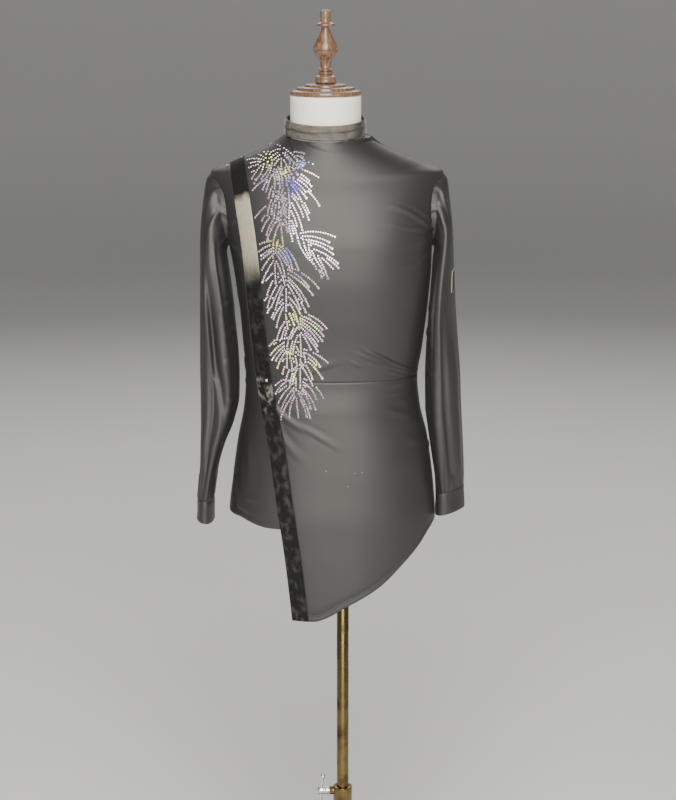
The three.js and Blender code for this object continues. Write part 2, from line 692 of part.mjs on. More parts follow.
const neckLevels = [
  { z: NECKLINE + 13, radius: 64.4, tilt: 0.1 },
  { z: NECKLINE + 30, radius: NECK_RADIUS, tilt: 0.05 },
  { z: NECK_TOP, radius: NECK_RADIUS, tilt: 0 },
];
const torso = solid(loft([...formLevels.map(formRing), ...neckLevels.map(neckRing)]));
const mastBore = rod(
  MAST_RADIUS + SEAM,
  new THREE.Vector3(0, 0, FORM_BOTTOM - 20),
  new THREE.Vector3(0, 0, MAST_TOP + SEAM),
  32,
);
add("form_torso", unsolid(torso.subtract(solid(mastBore))), ivory);

const onNeck = (geometry) => geometry.translate(NECK_X, 0, NECK_TOP);
add("neck_cap", onNeck(turned(CAP, 30)), wood);
add("finial", onNeck(turned(FINIAL, 22)), wood);

// The stand, from the socket under the form down to the base
add(
  "socket",
  tube(MAST_RADIUS + SEAM, MAST_RADIUS + SOCKET_WALL, FORM_BOTTOM - SOCKET_HEIGHT, FORM_BOTTOM - SEAM),
  brass,
);
add("tube_upper", tube(MAST_RADIUS - TUBE_WALL, MAST_RADIUS, MAST_FOOT, MAST_TOP), brass);
add("tube_lower", tube(MAST_RADIUS + SEAM, POST_RADIUS, POST_FOOT, POST_TOP), brass);
add("base_disc", turned(BASE, 40), brass);

// The clamp sits on the lower tube's end, and its screw presses on the upper tube
const along = (x) => new THREE.Vector3(x, 0, SCREW_HEIGHT);
const clampBody = solid(
  turned(
    [
      { r: CLAMP_RADIUS - CLAMP_EDGE, z: CLAMP_BOTTOM },
      { r: CLAMP_RADIUS, z: CLAMP_BOTTOM + 2 },
      { r: CLAMP_RADIUS, z: CLAMP_TOP - 2 },
      { r: CLAMP_RADIUS - CLAMP_EDGE, z: CLAMP_TOP },
    ],
    24,
  ),
);
const boss = solid(rod(BOSS_RADIUS, along(-CLAMP_RADIUS + 4), along(-CLAMP_RADIUS - BOSS_LENGTH)));
const down = (radius, bottom, top) =>
  solid(rod(radius, new THREE.Vector3(0, 0, bottom), new THREE.Vector3(0, 0, top), 24));
const clampCollar = clampBody
  .add(boss)
  .subtract(down(POST_RADIUS + SEAM, CLAMP_BOTTOM - 5, POST_TOP + SEAM))
  .subtract(down(MAST_RADIUS + SEAM, POST_TOP - 5, CLAMP_TOP + 5))
  .subtract(solid(rod(SCREW_RADIUS + SEAM, along(-5), along(-CLAMP_RADIUS - BOSS_LENGTH - 5))));
add("clamp_collar", unsolid(clampCollar), brass);

const barEnds = [-1, 1].map((end) => along(BAR_X + BAR_LEAN * end).setZ(SCREW_HEIGHT + BAR_HALF * end));
const screwParts = [
  rod(SCREW_RADIUS, along(-MAST_RADIUS - SEAM), along(BAR_X)),
  rod(KNOB_RADIUS, along(-CLAMP_RADIUS - BOSS_LENGTH - 1), along(BAR_X - 7)),
  rod(BAR_RADIUS, barEnds[0], barEnds[1]),
  ...barEnds.map((end) => new THREE.SphereGeometry(BALL_RADIUS, 10, 7).translate(end.x, end.y, end.z)),
];
const screw = screwParts.map(solid).reduce((sum, part) => sum.add(part));
add("clamp_screw", unsolid(screw), silver);

export default model;
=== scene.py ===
import math

import bpy
import numpy as np
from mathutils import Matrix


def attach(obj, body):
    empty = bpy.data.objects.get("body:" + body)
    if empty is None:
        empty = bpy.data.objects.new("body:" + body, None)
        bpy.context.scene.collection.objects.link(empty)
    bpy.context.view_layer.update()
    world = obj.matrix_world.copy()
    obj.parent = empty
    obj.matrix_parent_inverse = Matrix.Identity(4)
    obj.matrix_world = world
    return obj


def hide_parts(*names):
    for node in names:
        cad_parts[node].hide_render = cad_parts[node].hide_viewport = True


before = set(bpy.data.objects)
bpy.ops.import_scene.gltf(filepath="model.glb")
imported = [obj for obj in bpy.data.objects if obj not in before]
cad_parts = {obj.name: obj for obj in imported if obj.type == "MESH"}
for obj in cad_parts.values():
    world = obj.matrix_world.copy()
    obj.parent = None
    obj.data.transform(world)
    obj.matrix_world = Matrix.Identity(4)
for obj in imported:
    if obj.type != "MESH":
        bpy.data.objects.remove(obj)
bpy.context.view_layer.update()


# The studio. A pale floor that curves up all round into a wall, with a painted shade that darkens its
# colour with distance, a tall soft light and a panel above it on the camera's side, a weaker panel behind,
# and a dim sky. The camera stands in front, a little higher than the finial, and looks slightly down.
MM = 0.001
STUDIO_FLOOR = [(0, 0), (7, 0), (7.9, 0.12), (8.7, 0.5), (9.2, 1.2), (9.4, 2.2), (9.4, 6.5)]
CAMERA_PLACE = (-0.009, -3.7, 1.8787)
CAMERA_PITCH = 12.4
CAMERA_LENS = 92.5


class Shade:
    """A number, colour or direction that changes over a surface: one socket of a material's nodes."""

    def __init__(self, socket):
        self.socket = socket

    def node(self, kind, inputs, output=0, **settings):
        tree = self.socket.id_data
        made = tree.nodes.new("ShaderNode" + kind)
        for name, value in settings.items():
            setattr(made, name, value)
        for name, value in inputs.items():
            if isinstance(value, Shade):
                tree.links.new(value.socket, made.inputs[name])
            else:
                made.inputs[name].default_value = value
        return Shade(made.outputs[output])

    def math(self, operation, *values):
        return self.node("Math", dict(enumerate(values)), operation=operation)

    def __add__(self, other):
        return self.math("ADD", self, other)

    def __sub__(self, other):
        return self.math("SUBTRACT", self, other)

    def __rsub__(self, other):
        return self.math("SUBTRACT", other, self)

    def __mul__(self, other):
        return self.math("MULTIPLY", self, other)

    __radd__ = __add__
    __rmul__ = __mul__

    def step(self, low, high):
        """Goes smoothly from 0 to 1 between these two values, or from 1 to 0 where low is the higher."""
        return self.node(
            "MapRange",
            {"Value": self, "From Min": low, "From Max": high},
            interpolation_type="SMOOTHSTEP",
        )

    def mix(self, first, second):
        """A colour between two others, with this as the share of the second."""
        return self.node("Mix", {0: self, 6: first, 7: second}, output=2, data_type="RGBA")

    def stretched(self, x, y, z):
        return self.node("Mapping", {"Vector": self, "Scale": (x, y, z)})

    def noise(self, scale, detail=2.0, roughness=0.5):
        inputs = {"Vector": self, "Scale": scale, "Detail": detail, "Roughness": roughness}
        return self.node("TexNoise", inputs)

    def bump(self, distance, strength=1.0):
        return self.node("Bump", {"Height": self, "Distance": distance, "Strength": strength})


def material(name, coordinates, constants):
    """A new material with these constant values, and the coordinates that its pattern follows."""
    made = bpy.data.materials.new(name)
    made.use_nodes = True
    shader = made.node_tree.nodes["Principled BSDF"]
    for socket, value in constants.items():
        shader.inputs[socket].default_value = value
    start = made.node_tree.nodes.new("ShaderNodeTexCoord")
    return made, Shade(start.outputs[coordinates])


def paint(made, shades):
    """Links what changes over the surface to the material's sockets."""
    shader = made.node_tree.nodes["Principled BSDF"]
    for socket, shade in shades.items():
        made.node_tree.links.new(shade.socket, shader.inputs[socket])


def turned(name, centre, profile, steps=64, along=(0, 0, 1), out=(1, 0, 0), sharp=40):
    """A shape from the lathe. Its outline is drawn point by point, as distance from the axis and place along
    the axis, and then spun round the axis."""
    centre, along, out = (np.array(v, float) for v in (centre, along, out))
    spots = [centre + out * far + along * height for far, height in profile]
    bpy.ops.object.select_all(action="DESELECT")
    bpy.ops.mesh.primitive_plane_add(size=0.001, location=spots[0])
    piece = bpy.context.object
    piece.name = piece.data.name = name
    bpy.ops.object.transform_apply(location=True)
    bpy.ops.object.mode_set(mode="EDIT")
    bpy.ops.mesh.merge(type="CENTER")
    for before, after in zip(spots, spots[1:]):
        bpy.ops.mesh.extrude_vertices_move(TRANSFORM_OT_translate={"value": tuple(after - before)})
    bpy.ops.mesh.select_all(action="SELECT")
    bpy.ops.mesh.spin(steps=steps, angle=2 * math.pi, center=tuple(centre), axis=tuple(along))
    bpy.ops.mesh.select_all(action="SELECT")
    bpy.ops.mesh.remove_doubles(threshold=1e-5)
    bpy.ops.mesh.normals_make_consistent(inside=False)
    bpy.ops.object.mode_set(mode="OBJECT")
    bpy.ops.object.shade_smooth_by_angle(angle=math.radians(sharp))
    return piece


studio = turned("studio_floor", (0, 0, 0), STUDIO_FLOOR, steps=96)
floor_paint, spot = material("studio_paint", "Object", {"Roughness": 0.9, "Specular IOR Level": 0.2})
pale = spot.noise(0.7).mix((0.76, 0.76, 0.755, 1), (0.8, 0.8, 0.79, 1))
# Painted shade: the floor's colour is painted darker from 3 m out to 8.5 m out from the stand.
painted_shade_far_off = spot.node("VectorMath", {0: spot}, output=1, operation="LENGTH").step(3.0, 8.5)
paint(floor_paint, {"Base Color": painted_shade_far_off.mix(pale, (0.45, 0.45, 0.446, 1))})
studio.data.materials.append(floor_paint)

camera = bpy.data.objects.new("camera", bpy.data.cameras.new("camera"))
camera.data.lens = CAMERA_LENS
camera.data.clip_end = 60
camera.location = CAMERA_PLACE
camera.rotation_euler = (math.radians(90 - CAMERA_PITCH), 0, 0)
bpy.context.scene.collection.objects.link(camera)
bpy.context.scene.camera = camera

for name, size, place, lean, power in (
    ("soft_box", (2.9, 5.0), (0.1, -4.6, 3.05), 70, 445),
    ("top_panel", (2.4, 3.4), (0.1, -2.6, 5.9), 35, 150),
    ("rear_panel", (4.0, 3.0), (0, 4.8, 4.6), -53, 110),
):
    lamp = bpy.data.objects.new(name, bpy.data.lights.new(name, "AREA"))
    lamp.data.shape = "RECTANGLE"
    lamp.data.size, lamp.data.size_y = size
    lamp.data.energy = power
    lamp.data.color = (1, 0.98, 0.95)
    lamp.location = place
    lamp.rotation_euler = (math.radians(lean), 0, 0)
    bpy.context.scene.collection.objects.link(lamp)

sky = bpy.data.worlds.new("sky")
sky.use_nodes = True
sky.node_tree.nodes["Background"].inputs["Color"].default_value = (0.93, 0.95, 1, 1)
sky.node_tree.nodes["Background"].inputs["Strength"].default_value = 0.2
bpy.context.scene.world = sky


# The stand. A cast base with a rolled edge, a lower tube in it, and an upper tube that slides in that one.
# All are antique brass: brown lacquer in the hollows, brighter where hands and cloths rub it.
BASE_OUTLINE = [
    (0, 0), (162, 0), (164.2, 0.5), (165, 2), (165, 5), (164, 6.6), (161, 7.7), (120, 8.7), (78, 9.6),
    (55, 10.6), (40, 12), (31, 14.5), (25.5, 18), (22, 23), (20.4, 29), (20.2, 33), (21.6, 34), (21.8, 36.5),
    (20.8, 37.8), (19.4, 38.6), (18.9, 40.2), (17.8, 41), (13.3, 41), (13.3, 8.7), (0, 8.7),
]
LOWER_TUBE = [(11.5, 9), (13, 9), (13, 291.4), (12.4, 292), (11.5, 292), (11.5, 9)]
UPPER_TUBE = [(10, 110), (10.8, 110), (11.2, 110.4), (11.2, 940.4), (10.8, 941), (10, 941), (10, 110)]


def in_metres(outline):
    """An outline's distances from the axis and heights, from millimetres."""
    return [(far * MM, height * MM) for far, height in outline]


def dress(piece, finish, slot, body, *nodes):
    """Gives a piece its finish, the body that it moves with and the solids that it stands for."""
    piece.data.materials.clear()
    piece.data.materials.append(finish)
    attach(piece, body)
    if nodes:
        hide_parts(*nodes)
    return piece


brass, spot = material("antique_brass", "Object", {"Metallic": 1.0, "Specular IOR Level": 0.5})
tarnish = spot.noise(38, detail=5).step(0.42, 0.72)
rubbed = spot.stretched(300, 300, 9).noise(2.0, detail=3)
paint(brass, {
    "Base Color": tarnish.mix((0.2, 0.14, 0.056, 1), (0.08, 0.055, 0.025, 1)),
    "Roughness": 0.2 + 0.22 * tarnish + 0.1 * rubbed,
    "Normal": (rubbed * 0.3 + spot.noise(420, detail=2)).bump(0.00004),
})
FLOOR_CENTRE = (0, 0, 0)
base = turned("base_casting", FLOOR_CENTRE, in_metres(BASE_OUTLINE), 96)
dress(base, brass, "base_metal", "stand", "base_disc")
lower_tube = turned("lower_tube", FLOOR_CENTRE, in_metres(LOWER_TUBE))
dress(lower_tube, brass, "antique_brass", "stand", "tube_lower")
upper_tube = turned("upper_tube", FLOOR_CENTRE, in_metres(UPPER_TUBE))
dress(upper_tube, brass, "antique_brass", "mast", "tube_upper")


# The clamp. A turned collar on the lower tube's end, with a boss on its side that is bored for the screw.
# The screw has a round head and a plated cross bar with a ball on each end, and turns by hand.
CLAMP_OUTLINE = [
    (13.3, 262), (16.2, 262), (17.6, 262.7), (18, 264.2), (18, 271), (17.4, 271.8), (17.4, 273), (18, 273.8),
    (18, 304.8), (17.6, 306.3), (16.2, 307), (11.5, 307), (11.5, 292.4), (13.3, 292.4), (13.3, 262),
]
BOSS_OUTLINE = [(4.3, 12.6), (8, 12.6), (8, 24), (7.4, 25), (4.3, 25), (4.3, 12.6)]
SCREW_OUTLINE = [
    (0, 11.5), (3.2, 11.5), (4, 12.4), (4, 26), (6.2, 26), (7.2, 26.5), (7.5, 28), (7.5, 33), (7, 34),
    (6.9, 35), (7.4, 36), (7.5, 46), (6.6, 47.6), (4.4, 48.2), (0, 48.4),
]
BAR_OUTLINE = [
    (0, -33.4), (2.4, -32.7), (3.9, -31), (4.4, -29), (4, -27.2), (2.9, -25.6), (2.6, -24.6), (2.6, 24.6),
    (2.9, 25.6), (4, 27.2), (4.4, 29), (3.9, 31), (2.4, 32.7), (0, 33.4),
]
SCREW_AXIS = (0, 0, 297 * MM)
BAR_CENTRE = (-41 * MM, 0, 297 * MM)
BAR_LEAN = np.array([3, 0, 29]) / math.hypot(3, 29)


def joined(name, pieces):
    """Pieces as one object under this name."""
    bpy.ops.object.select_all(action="DESELECT")
    for piece in pieces:
        piece.select_set(True)
    bpy.context.view_layer.objects.active = pieces[0]
    bpy.ops.object.join()
    pieces[0].name = pieces[0].data.name = name
    return pieces[0]


clamp = turned("clamp", FLOOR_CENTRE, in_metres(CLAMP_OUTLINE))
boss = turned("boss", SCREW_AXIS, in_metres(BOSS_OUTLINE), 40, along=(-1, 0, 0), out=(0, 0, 1))
dress(joined("clamp_with_boss", [clamp, boss]), brass, "antique_brass", "stand", "clamp_collar")

plated, spot = material("plated_screw", "Object", {"Metallic": 1.0, "Base Color": (0.72, 0.72, 0.74, 1)})
paint(plated, {
    "Roughness": 0.14 + 0.2 * spot.noise(160, detail=4),
    "Normal": spot.noise(500, detail=2).bump(0.00003),
})
screw = turned("screw", SCREW_AXIS, in_metres(SCREW_OUTLINE), 40, along=(-1, 0, 0), out=(0, 0, 1))
bar_side = (BAR_LEAN[2], 0, -BAR_LEAN[0])
bar = turned("bar", BAR_CENTRE, in_metres(BAR_OUTLINE), 28, along=BAR_LEAN, out=bar_side)
dress(joined("screw_with_bar", [screw, bar]), plated, "screw_metal", "screw", "clamp_screw")

SOCKET_OUTLINE = [
    (11.5, 852), (19, 852), (20, 852.7), (20.2, 854), (20.2, 863.5), (19.6, 864.6), (19.6, 865.7),
    (11.5, 865.7), (11.5, 852),
]
socket = turned("socket_ring", FLOOR_CENTRE, in_metres(SOCKET_OUTLINE))
dress(socket, brass, "antique_brass", "form", "socket")


# The dress form. A limbless foam torso with a straight neck, under a smooth ivory jersey cover. It follows
# the sections of the worn shirt, a few millimetres inside them, and is bored from below for the tube.
NECKLINE = 1553
NECK_TILT = 0.13
NECK = (-31, 0)
NECK_TOP = 1622
ARMHOLE = {"middle": 1418, "half": 66, "reach": 50}
# The rings that close the form below: first round the tube's bore, and then the rounded lower edge
BORE_RINGS = ((0.01, 941.3), (11.5, 941.3), (11.5, 867.5), (12.5, 866))
EDGE_RINGS = ((60, 866), (26, 866.1), (17, 866.6), (11.5, 868.5), (7, 871.5), (3.4, 875.5), (1, 880))
# The neck's rings: the radius, the height, and how far each still tilts with the neckline
NECK_RINGS = (
    (64.9, 1558, 0.115), (64.6, 1566, 0.1), (64, 1574, 0.075), (63.6, 1583, 0.05), (63.5, 1596, 0.02),
    (63.5, 1610, 0), (63.5, 1620.6, 0), (63.2, 1621.4, 0), (62.6, 1621.9, 0), (55, 1622, 0), (0.01, 1622, 0),
)


def table(names, *rows):
    """Rows of numbers as named columns."""
    return dict(zip(names.split(), np.array(rows, float).T))


def column(rows, along, name):
    """A smooth line through one column of a table, which never overshoots the rows."""
    at, value = rows[along], rows[name]
    slope = np.diff(value) / np.diff(at)
    before = np.concatenate([slope[:1], slope])
    after = np.concatenate([slope, slope[-1:]])
    same = before * after > 0
    tangent = np.where(same, 2 * before * after / np.where(same, before + after, 1), 0)

    def line(x):
        i = np.clip(np.searchsorted(at, x) - 1, 0, len(slope) - 1)
        width = at[i + 1] - at[i]
        s = np.clip((x - at[i]) / width, 0, 1)
        ends = value[i] * (1 + 2 * s) * (1 - s) ** 2 + value[i + 1] * s * s * (3 - 2 * s)
        return ends + width * (tangent[i] * s * (1 - s) ** 2 + tangent[i + 1] * s * s * (s - 1))

    return line


def smooth(x, low, high):
    """Rises smoothly from 0 to 1 between two values."""
    share = np.clip((np.asarray(x, float) - low) / (high - low), 0, 1)
    return share * share * (3 - 2 * share)


def signed_power(value, power):
    return np.sign(value) * np.abs(value) ** power


WORN = table(
    "z middle side front back square ease",
    (660, -20, 192, 122, 116, 2.5, 9),
    (850, -20, 190, 122, 114, 2.5, 9),
    (930, -18.5, 183, 117, 111, 2.5, 6),
    (1000, -18.5, 173, 111, 102, 2.45, 5),
    (1060, -20, 160, 106, 94, 2.4, 4),
    (1110, -21, 156, 104, 91, 2.4, 4),
    (1170, -18.5, 162, 107, 95, 2.45, 4),
    (1240, -17, 169, 115, 102, 2.55, 3.5),
    (1310, -19, 177, 121, 110, 2.65, 3.2),
    (1360, -22.5, 182, 120, 113, 2.75, 3.2),
    (1410, -25, 190, 111, 112, 2.6, 3),
    (1450, -27, 199, 99, 104, 2.25, 3),
    (1485, -28.5, 208, 85, 92, 1.9, 2.8),
    (1500, -29.5, 174, 81, 87, 1.9, 2.8),
    (1518, -30, 133, 76, 81, 1.92, 2.8),
    (1538, -30.5, 92, 71.5, 72.5, 1.95, 2.6),
    (1553, -31, 70, 67.5, 66, 2, 2.6),
)
middle, side, front, back, square, ease = (
    column(WORN, "z", name) for name in ("middle", "side", "front", "back", "square", "ease")
)


def body(angle, z):
    """The worn shirt's inside. Angle 0 is the wearer's left side, a quarter turn is the front."""
    angle, z = np.broadcast_arrays(np.asarray(angle, float), np.asarray(z, float))
    power = 2 / square(z)
    depth = np.where(np.sin(angle) > 0, front(z), back(z))
    x = middle(z) + side(z) * signed_power(np.cos(angle), power)
    y = -depth * signed_power(np.sin(angle), power)
    tilt = NECK_TILT * smooth(z, 1440, NECKLINE)
    return np.stack([x, y, z + tilt * y], axis=-1)


def unit(vectors):
    return vectors / np.linalg.norm(vectors, axis=-1, keepdims=True)


def body_surface(angle, z):
    """Points of the body, and the directions straight out from it there."""
    low = np.minimum(z, NECKLINE - 1)
    round_it = body(angle + 1e-3, z) - body(angle - 1e-3, z)
    up_it = body(angle, low + 1) - body(angle, low)
    return body(angle, z), unit(np.cross(up_it, round_it))


def meshed(name, corners, faces, soft=True):
    """A piece with these corners, in millimetres, and these faces."""
    mesh = bpy.data.meshes.new(name)
    mesh.from_pydata(corners.reshape(-1, 3) * MM, [], faces)
    mesh.polygons.foreach_set("use_smooth", np.full(len(faces), soft))
    piece = bpy.data.objects.new(name, mesh)
    bpy.context.scene.collection.objects.link(piece)
    return piece


def surface_mesh(name, points, uv=None, closed=False, inside=(-20, 0)):
    """A mesh from rows of points in millimetres, with its faces turned away from an upright inner axis. The
    last column of a closed one meets its first."""
    rows, columns = points.shape[:2]
    i, j = np.meshgrid(np.arange(columns if closed else columns - 1), np.arange(rows - 1))
    here = j * columns + i
    beside = j * columns + (i + 1) % columns
    faces = np.stack([here, here + columns, beside + columns, beside], axis=-1).reshape(-1, 4)
    corners = points.reshape(-1, 3)[faces]
    normal = np.cross(corners[:, 1] - corners[:, 0], corners[:, 2] - corners[:, 0])
    away = corners[:, 0, :2] - np.array(inside)
    if (normal[:, :2] * away).sum() < 0:
        faces = faces[:, ::-1]
    piece = meshed(name, points, faces.tolist())
    if uv is not None:
        places = uv.reshape(-1, 2)[faces.reshape(-1)]
        layer = piece.data.uv_layers.new(name="cloth")
        layer.data.foreach_set("uv", places.astype(np.float32).ravel())
    return piece


TORSO_COLUMNS = 160
turn = np.linspace(0, 2 * math.pi, TORSO_COLUMNS, endpoint=False)
level = np.ones(TORSO_COLUMNS)
rings = []
for bore, z in BORE_RINGS:
    rings.append(np.stack([bore * np.cos(turn), -bore * np.sin(turn), z * level], axis=-1))
for inset, z in EDGE_RINGS:
    points, normals = body_surface(turn, z * level)
    rings.append(points - normals * (ease(z) + inset))
    rings[-1][:, 2] = z
for z in np.concatenate([np.linspace(886, 1484, 130), np.linspace(1487, NECKLINE - 1, 40)]):
    points, normals = body_surface(turn, z * level)
    rings.append(points - normals * ease(z))
for radius, z, tilt in NECK_RINGS:
    y = -radius * np.sin(turn)
    rings.append(np.stack([NECK[0] + radius * np.cos(turn), y, z + tilt * y], axis=-1))
torso = surface_mesh("form_cover", np.array(rings), closed=True)

jersey, spot = material("ivory_jersey", "Object", {"Sheen Weight": 0.15, "Specular IOR Level": 0.35})
worn_cover = spot.noise(9, detail=4)
knit = spot.stretched(1, 1, 1.4).noise(900, detail=1)
paint(jersey, {
    "Base Color": worn_cover.mix((0.94, 0.9, 0.79, 1), (0.9, 0.85, 0.72, 1)),
    "Roughness": 0.6 + 0.2 * knit,
    "Normal": (knit + worn_cover * 0.6).bump(0.00012, 0.5),
})
dress(torso, jersey, "form_cover", "form", "form_torso")


# The neck cap and the finial. Two turnings of close-grained hardwood, stained brown and gloss varnished: a
# stepped disc that closes the neck, and a vase-shaped finial that screws into it.
CAP_OUTLINE = [
    (0, 0.3), (60.5, 0.3), (61.8, 0.9), (63, 2.2), (63.5, 4.2), (63.1, 6.2), (62.2, 7.8), (60.4, 9),
    (56, 9.6), (52.6, 9.8), (52.1, 10.4), (52.2, 12), (51.9, 13.6), (51, 14.7), (48, 15.2), (38.6, 15.5),
    (38, 16.1), (38.1, 17.6), (37.7, 19), (36.4, 19.9), (32, 20.5), (19.2, 20.9), (0, 21),
]
FINIAL_OUTLINE = [
    (0, 21.3), (16.6, 21.3), (17.8, 22.1), (18.5, 23.6), (18.6, 25.2), (18.1, 27), (17.9, 28.4), (18.2, 30),
    (18.6, 31.4), (18.3, 32.8), (17.2, 33.9), (14.2, 34.8), (12.3, 35.5), (11.7, 36.4), (12, 37.4),
    (12.9, 38.3), (13.3, 39.4), (13, 40.6), (12, 41.6), (10.9, 42.1), (10.8, 42.7), (12.2, 43.3),
    (13.3, 44), (13.7, 45), (13.2, 46.1), (11.9, 47), (10.4, 47.6), (9.5, 49), (9.1, 51), (9.2, 53.5),
    (9.9, 57), (11.4, 61), (13.6, 65), (16.4, 69.2), (18.9, 73), (20.6, 76), (21.6, 78.6), (21.9, 79.8),
    (23.6, 80.1), (24.3, 80.7), (24.5, 81.4), (24.2, 82.1), (23.2, 82.6), (22.5, 83.3), (22.1, 85),
    (21, 88), (19.3, 91.5), (17.2, 95.5), (14.9, 99.8), (12.5, 104.5), (10.4, 109), (8.8, 112.6),
    (7.7, 115), (7.1, 117), (7, 118.8), (7.8, 119.9), (10.5, 120.6), (14.2, 121.2), (16, 122), (16.7, 123.2),
    (16.6, 124.3), (15.7, 125.4), (13.8, 126.7), (11.4, 127.9), (9.6, 129), (8.9, 130.4), (8.8, 132.5),
    (9, 135.5), (9.4, 139), (9.7, 142.5), (9.6, 145.6), (8.9, 147.8), (7.4, 149.2), (4.6, 150), (0, 150.3),
]

varnished, spot = material("varnished_wood", "Object", {
    "Coat Weight": 0.7, "Coat Roughness": 0.14, "Specular IOR Level": 0.5,
})
centred = spot.node("Mapping", {"Vector": spot, "Location": (-NECK[0] * MM, 0, 0)})
grain = centred.stretched(60, 60, 5).noise(3.2, detail=6, roughness=0.62)
pores = centred.stretched(900, 900, 28).noise(1.6, detail=2).step(0.6, 0.72)
stain = grain.step(0.33, 0.68).mix((0.085, 0.04, 0.021, 1), (0.26, 0.14, 0.074, 1))
paint(varnished, {
    "Base Color": pores.mix(stain, (0.035, 0.014, 0.008, 1)),
    "Roughness": 0.26 + 0.16 * grain,
    "Normal": (grain * 0.5 - pores).bump(0.00005),
})
neck_top = (NECK[0] * MM, NECK[1] * MM, NECK_TOP * MM)
cap = turned("cap_turning", neck_top, in_metres(CAP_OUTLINE), 96, sharp=55)
dress(cap, varnished, "wood", "form", "neck_cap")
finial = turned("finial_turning", neck_top, in_metres(FINIAL_OUTLINE), 72, sharp=55)
dress(finial, varnished, "wood", "form", "finial")


# The shirt's body. Stretch satin, cut in a back, a short right front, and a left front in two parts that meet
# at the waist seam. The edges turn inwards into the seams, and the cloth is drawn into creases by the seams.
CLOTH = 1.5
SATIN = 0.7
WAIST_SEAM = 1120
HEM = 850
HEM_RISE = 13
HEM_WAVE = 5
OVERLAY = 3.2
UNDERLAP = 34
BAND_WIDTH = 27
BAND = table(
    "z x",
    (670, -76), (795, -90), (906, -106), (1015, -121), (1120, -142), (1177, -149), (1268, -157),
    (1358, -165), (1444, -178), (1530, -193),
)
LONG_HEM = table(
    "x z", (-95, 681), (-56, 679), (13, 711), (67, 743), (113, 786), (140, 815), (156, 836), (172, 850),
)
# Each crease starts, bends and ends at these distances across and heights. The last columns are its
# half width, its height, and 1 where it springs from a seam at its start.
FRONT_CREASES = table(
    "x0 z0 x1 z1 x2 z2 width height sprung",
    (128, 1131, 70, 1164, 22, 1190, 3.4, 3.1, 1),
    (126, 1127, 62, 1157, 12, 1181, 2.8, 2.4, 1),
    (124, 1124, 88, 1136, 55, 1155, 2.6, 1.3, 1),
    (40, 1145, 23, 1154, 0, 1165, 3.2, 0.8, 0),
    (134, 1128, 102, 1125, 70, 1122, 2.8, 1.1, 1),
    (131, 1115, 84, 1111, 48, 1113, 2.8, 1.3, 1),
    (120, 1098, 86, 1094, 56, 1096, 2.7, 1.0, 1),
    (132, 1072, 112, 1078, 90, 1088, 4.5, 1.2, 1),
    (136, 1050, 98, 1060, 68, 1076, 5.5, 1.5, 1),
    (160, 984, 132, 1003, 96, 1022, 6, 1.5, 1),
    (158, 1386, 118, 1422, 66, 1437, 3.6, 2.6, 1),
    (160, 1398, 136, 1425, 102, 1436, 3.0, 1.9, 1),
    (158, 1388, 106, 1398, 54, 1406, 3.4, 2.1, 1),
    (160, 1369, 138, 1367, 106, 1371, 4.6, 1.3, 1),
    (152, 1344, 120, 1330, 92, 1326, 5.5, 1.1, 1),
    (-12, 1551, 38, 1548, 82, 1532, 3.0, 1.6, 1),
    (8, 1550, 46, 1547, 76, 1539, 2.6, 1.2, 1),
    (26, 1550, 58, 1543, 96, 1522, 3.4, 1.7, 1),
    (-58, 1550, -20, 1540, 22, 1538, 5, 0.8, 1),
    (-98, 1546, -90, 1534, -79, 1520, 2.1, -1.5, 1),
    (-140, 1106, -110, 1059, -42, 1019, 4.4, 3.4, 1),
    (-82, 1044, -42, 1020, 8, 990, 4.6, 1.2, 0),
    (-128, 1112, -92, 1094, -52, 1088, 5, 1.4, 1),
    (-116, 1036, -98, 1002, -60, 968, 6, 1.2, 1),
    (-64, 1133, -30, 1150, 4, 1156, 5.5, 0.9, 1),
    (-126, 1150, -92, 1172, -60, 1206, 7, 1.0, 1),
    (-196, 1128, -182, 1140, -160, 1152, 4.4, 1.8, 1),
    (-190, 1106, -178, 1104, -160, 1098, 4, 1.4, 1),
    (-201, 945, -195, 902, -188, 862, 6, 2.6, 0),
    (-176, 1010, -170, 960, -172, 900, 7, 1.3, 0),
    (-204, 1362, -190, 1352, -172, 1330, 4.6, 1.6, 1),
    (-204, 1392, -194, 1404, -182, 1430, 4.2, 1.5, 1),
    (-200, 1300, -190, 1270, -184, 1228, 6, 1.3, 0),
    (-200, 893, -184, 880, -162, 874, 4.2, 1.6, 1),
    (-198, 872, -184, 866, -168, 868, 3.2, 1.3, 1),
    (-192, 905, -170, 899, -146, 902, 4.6, 1.1, 1),
)
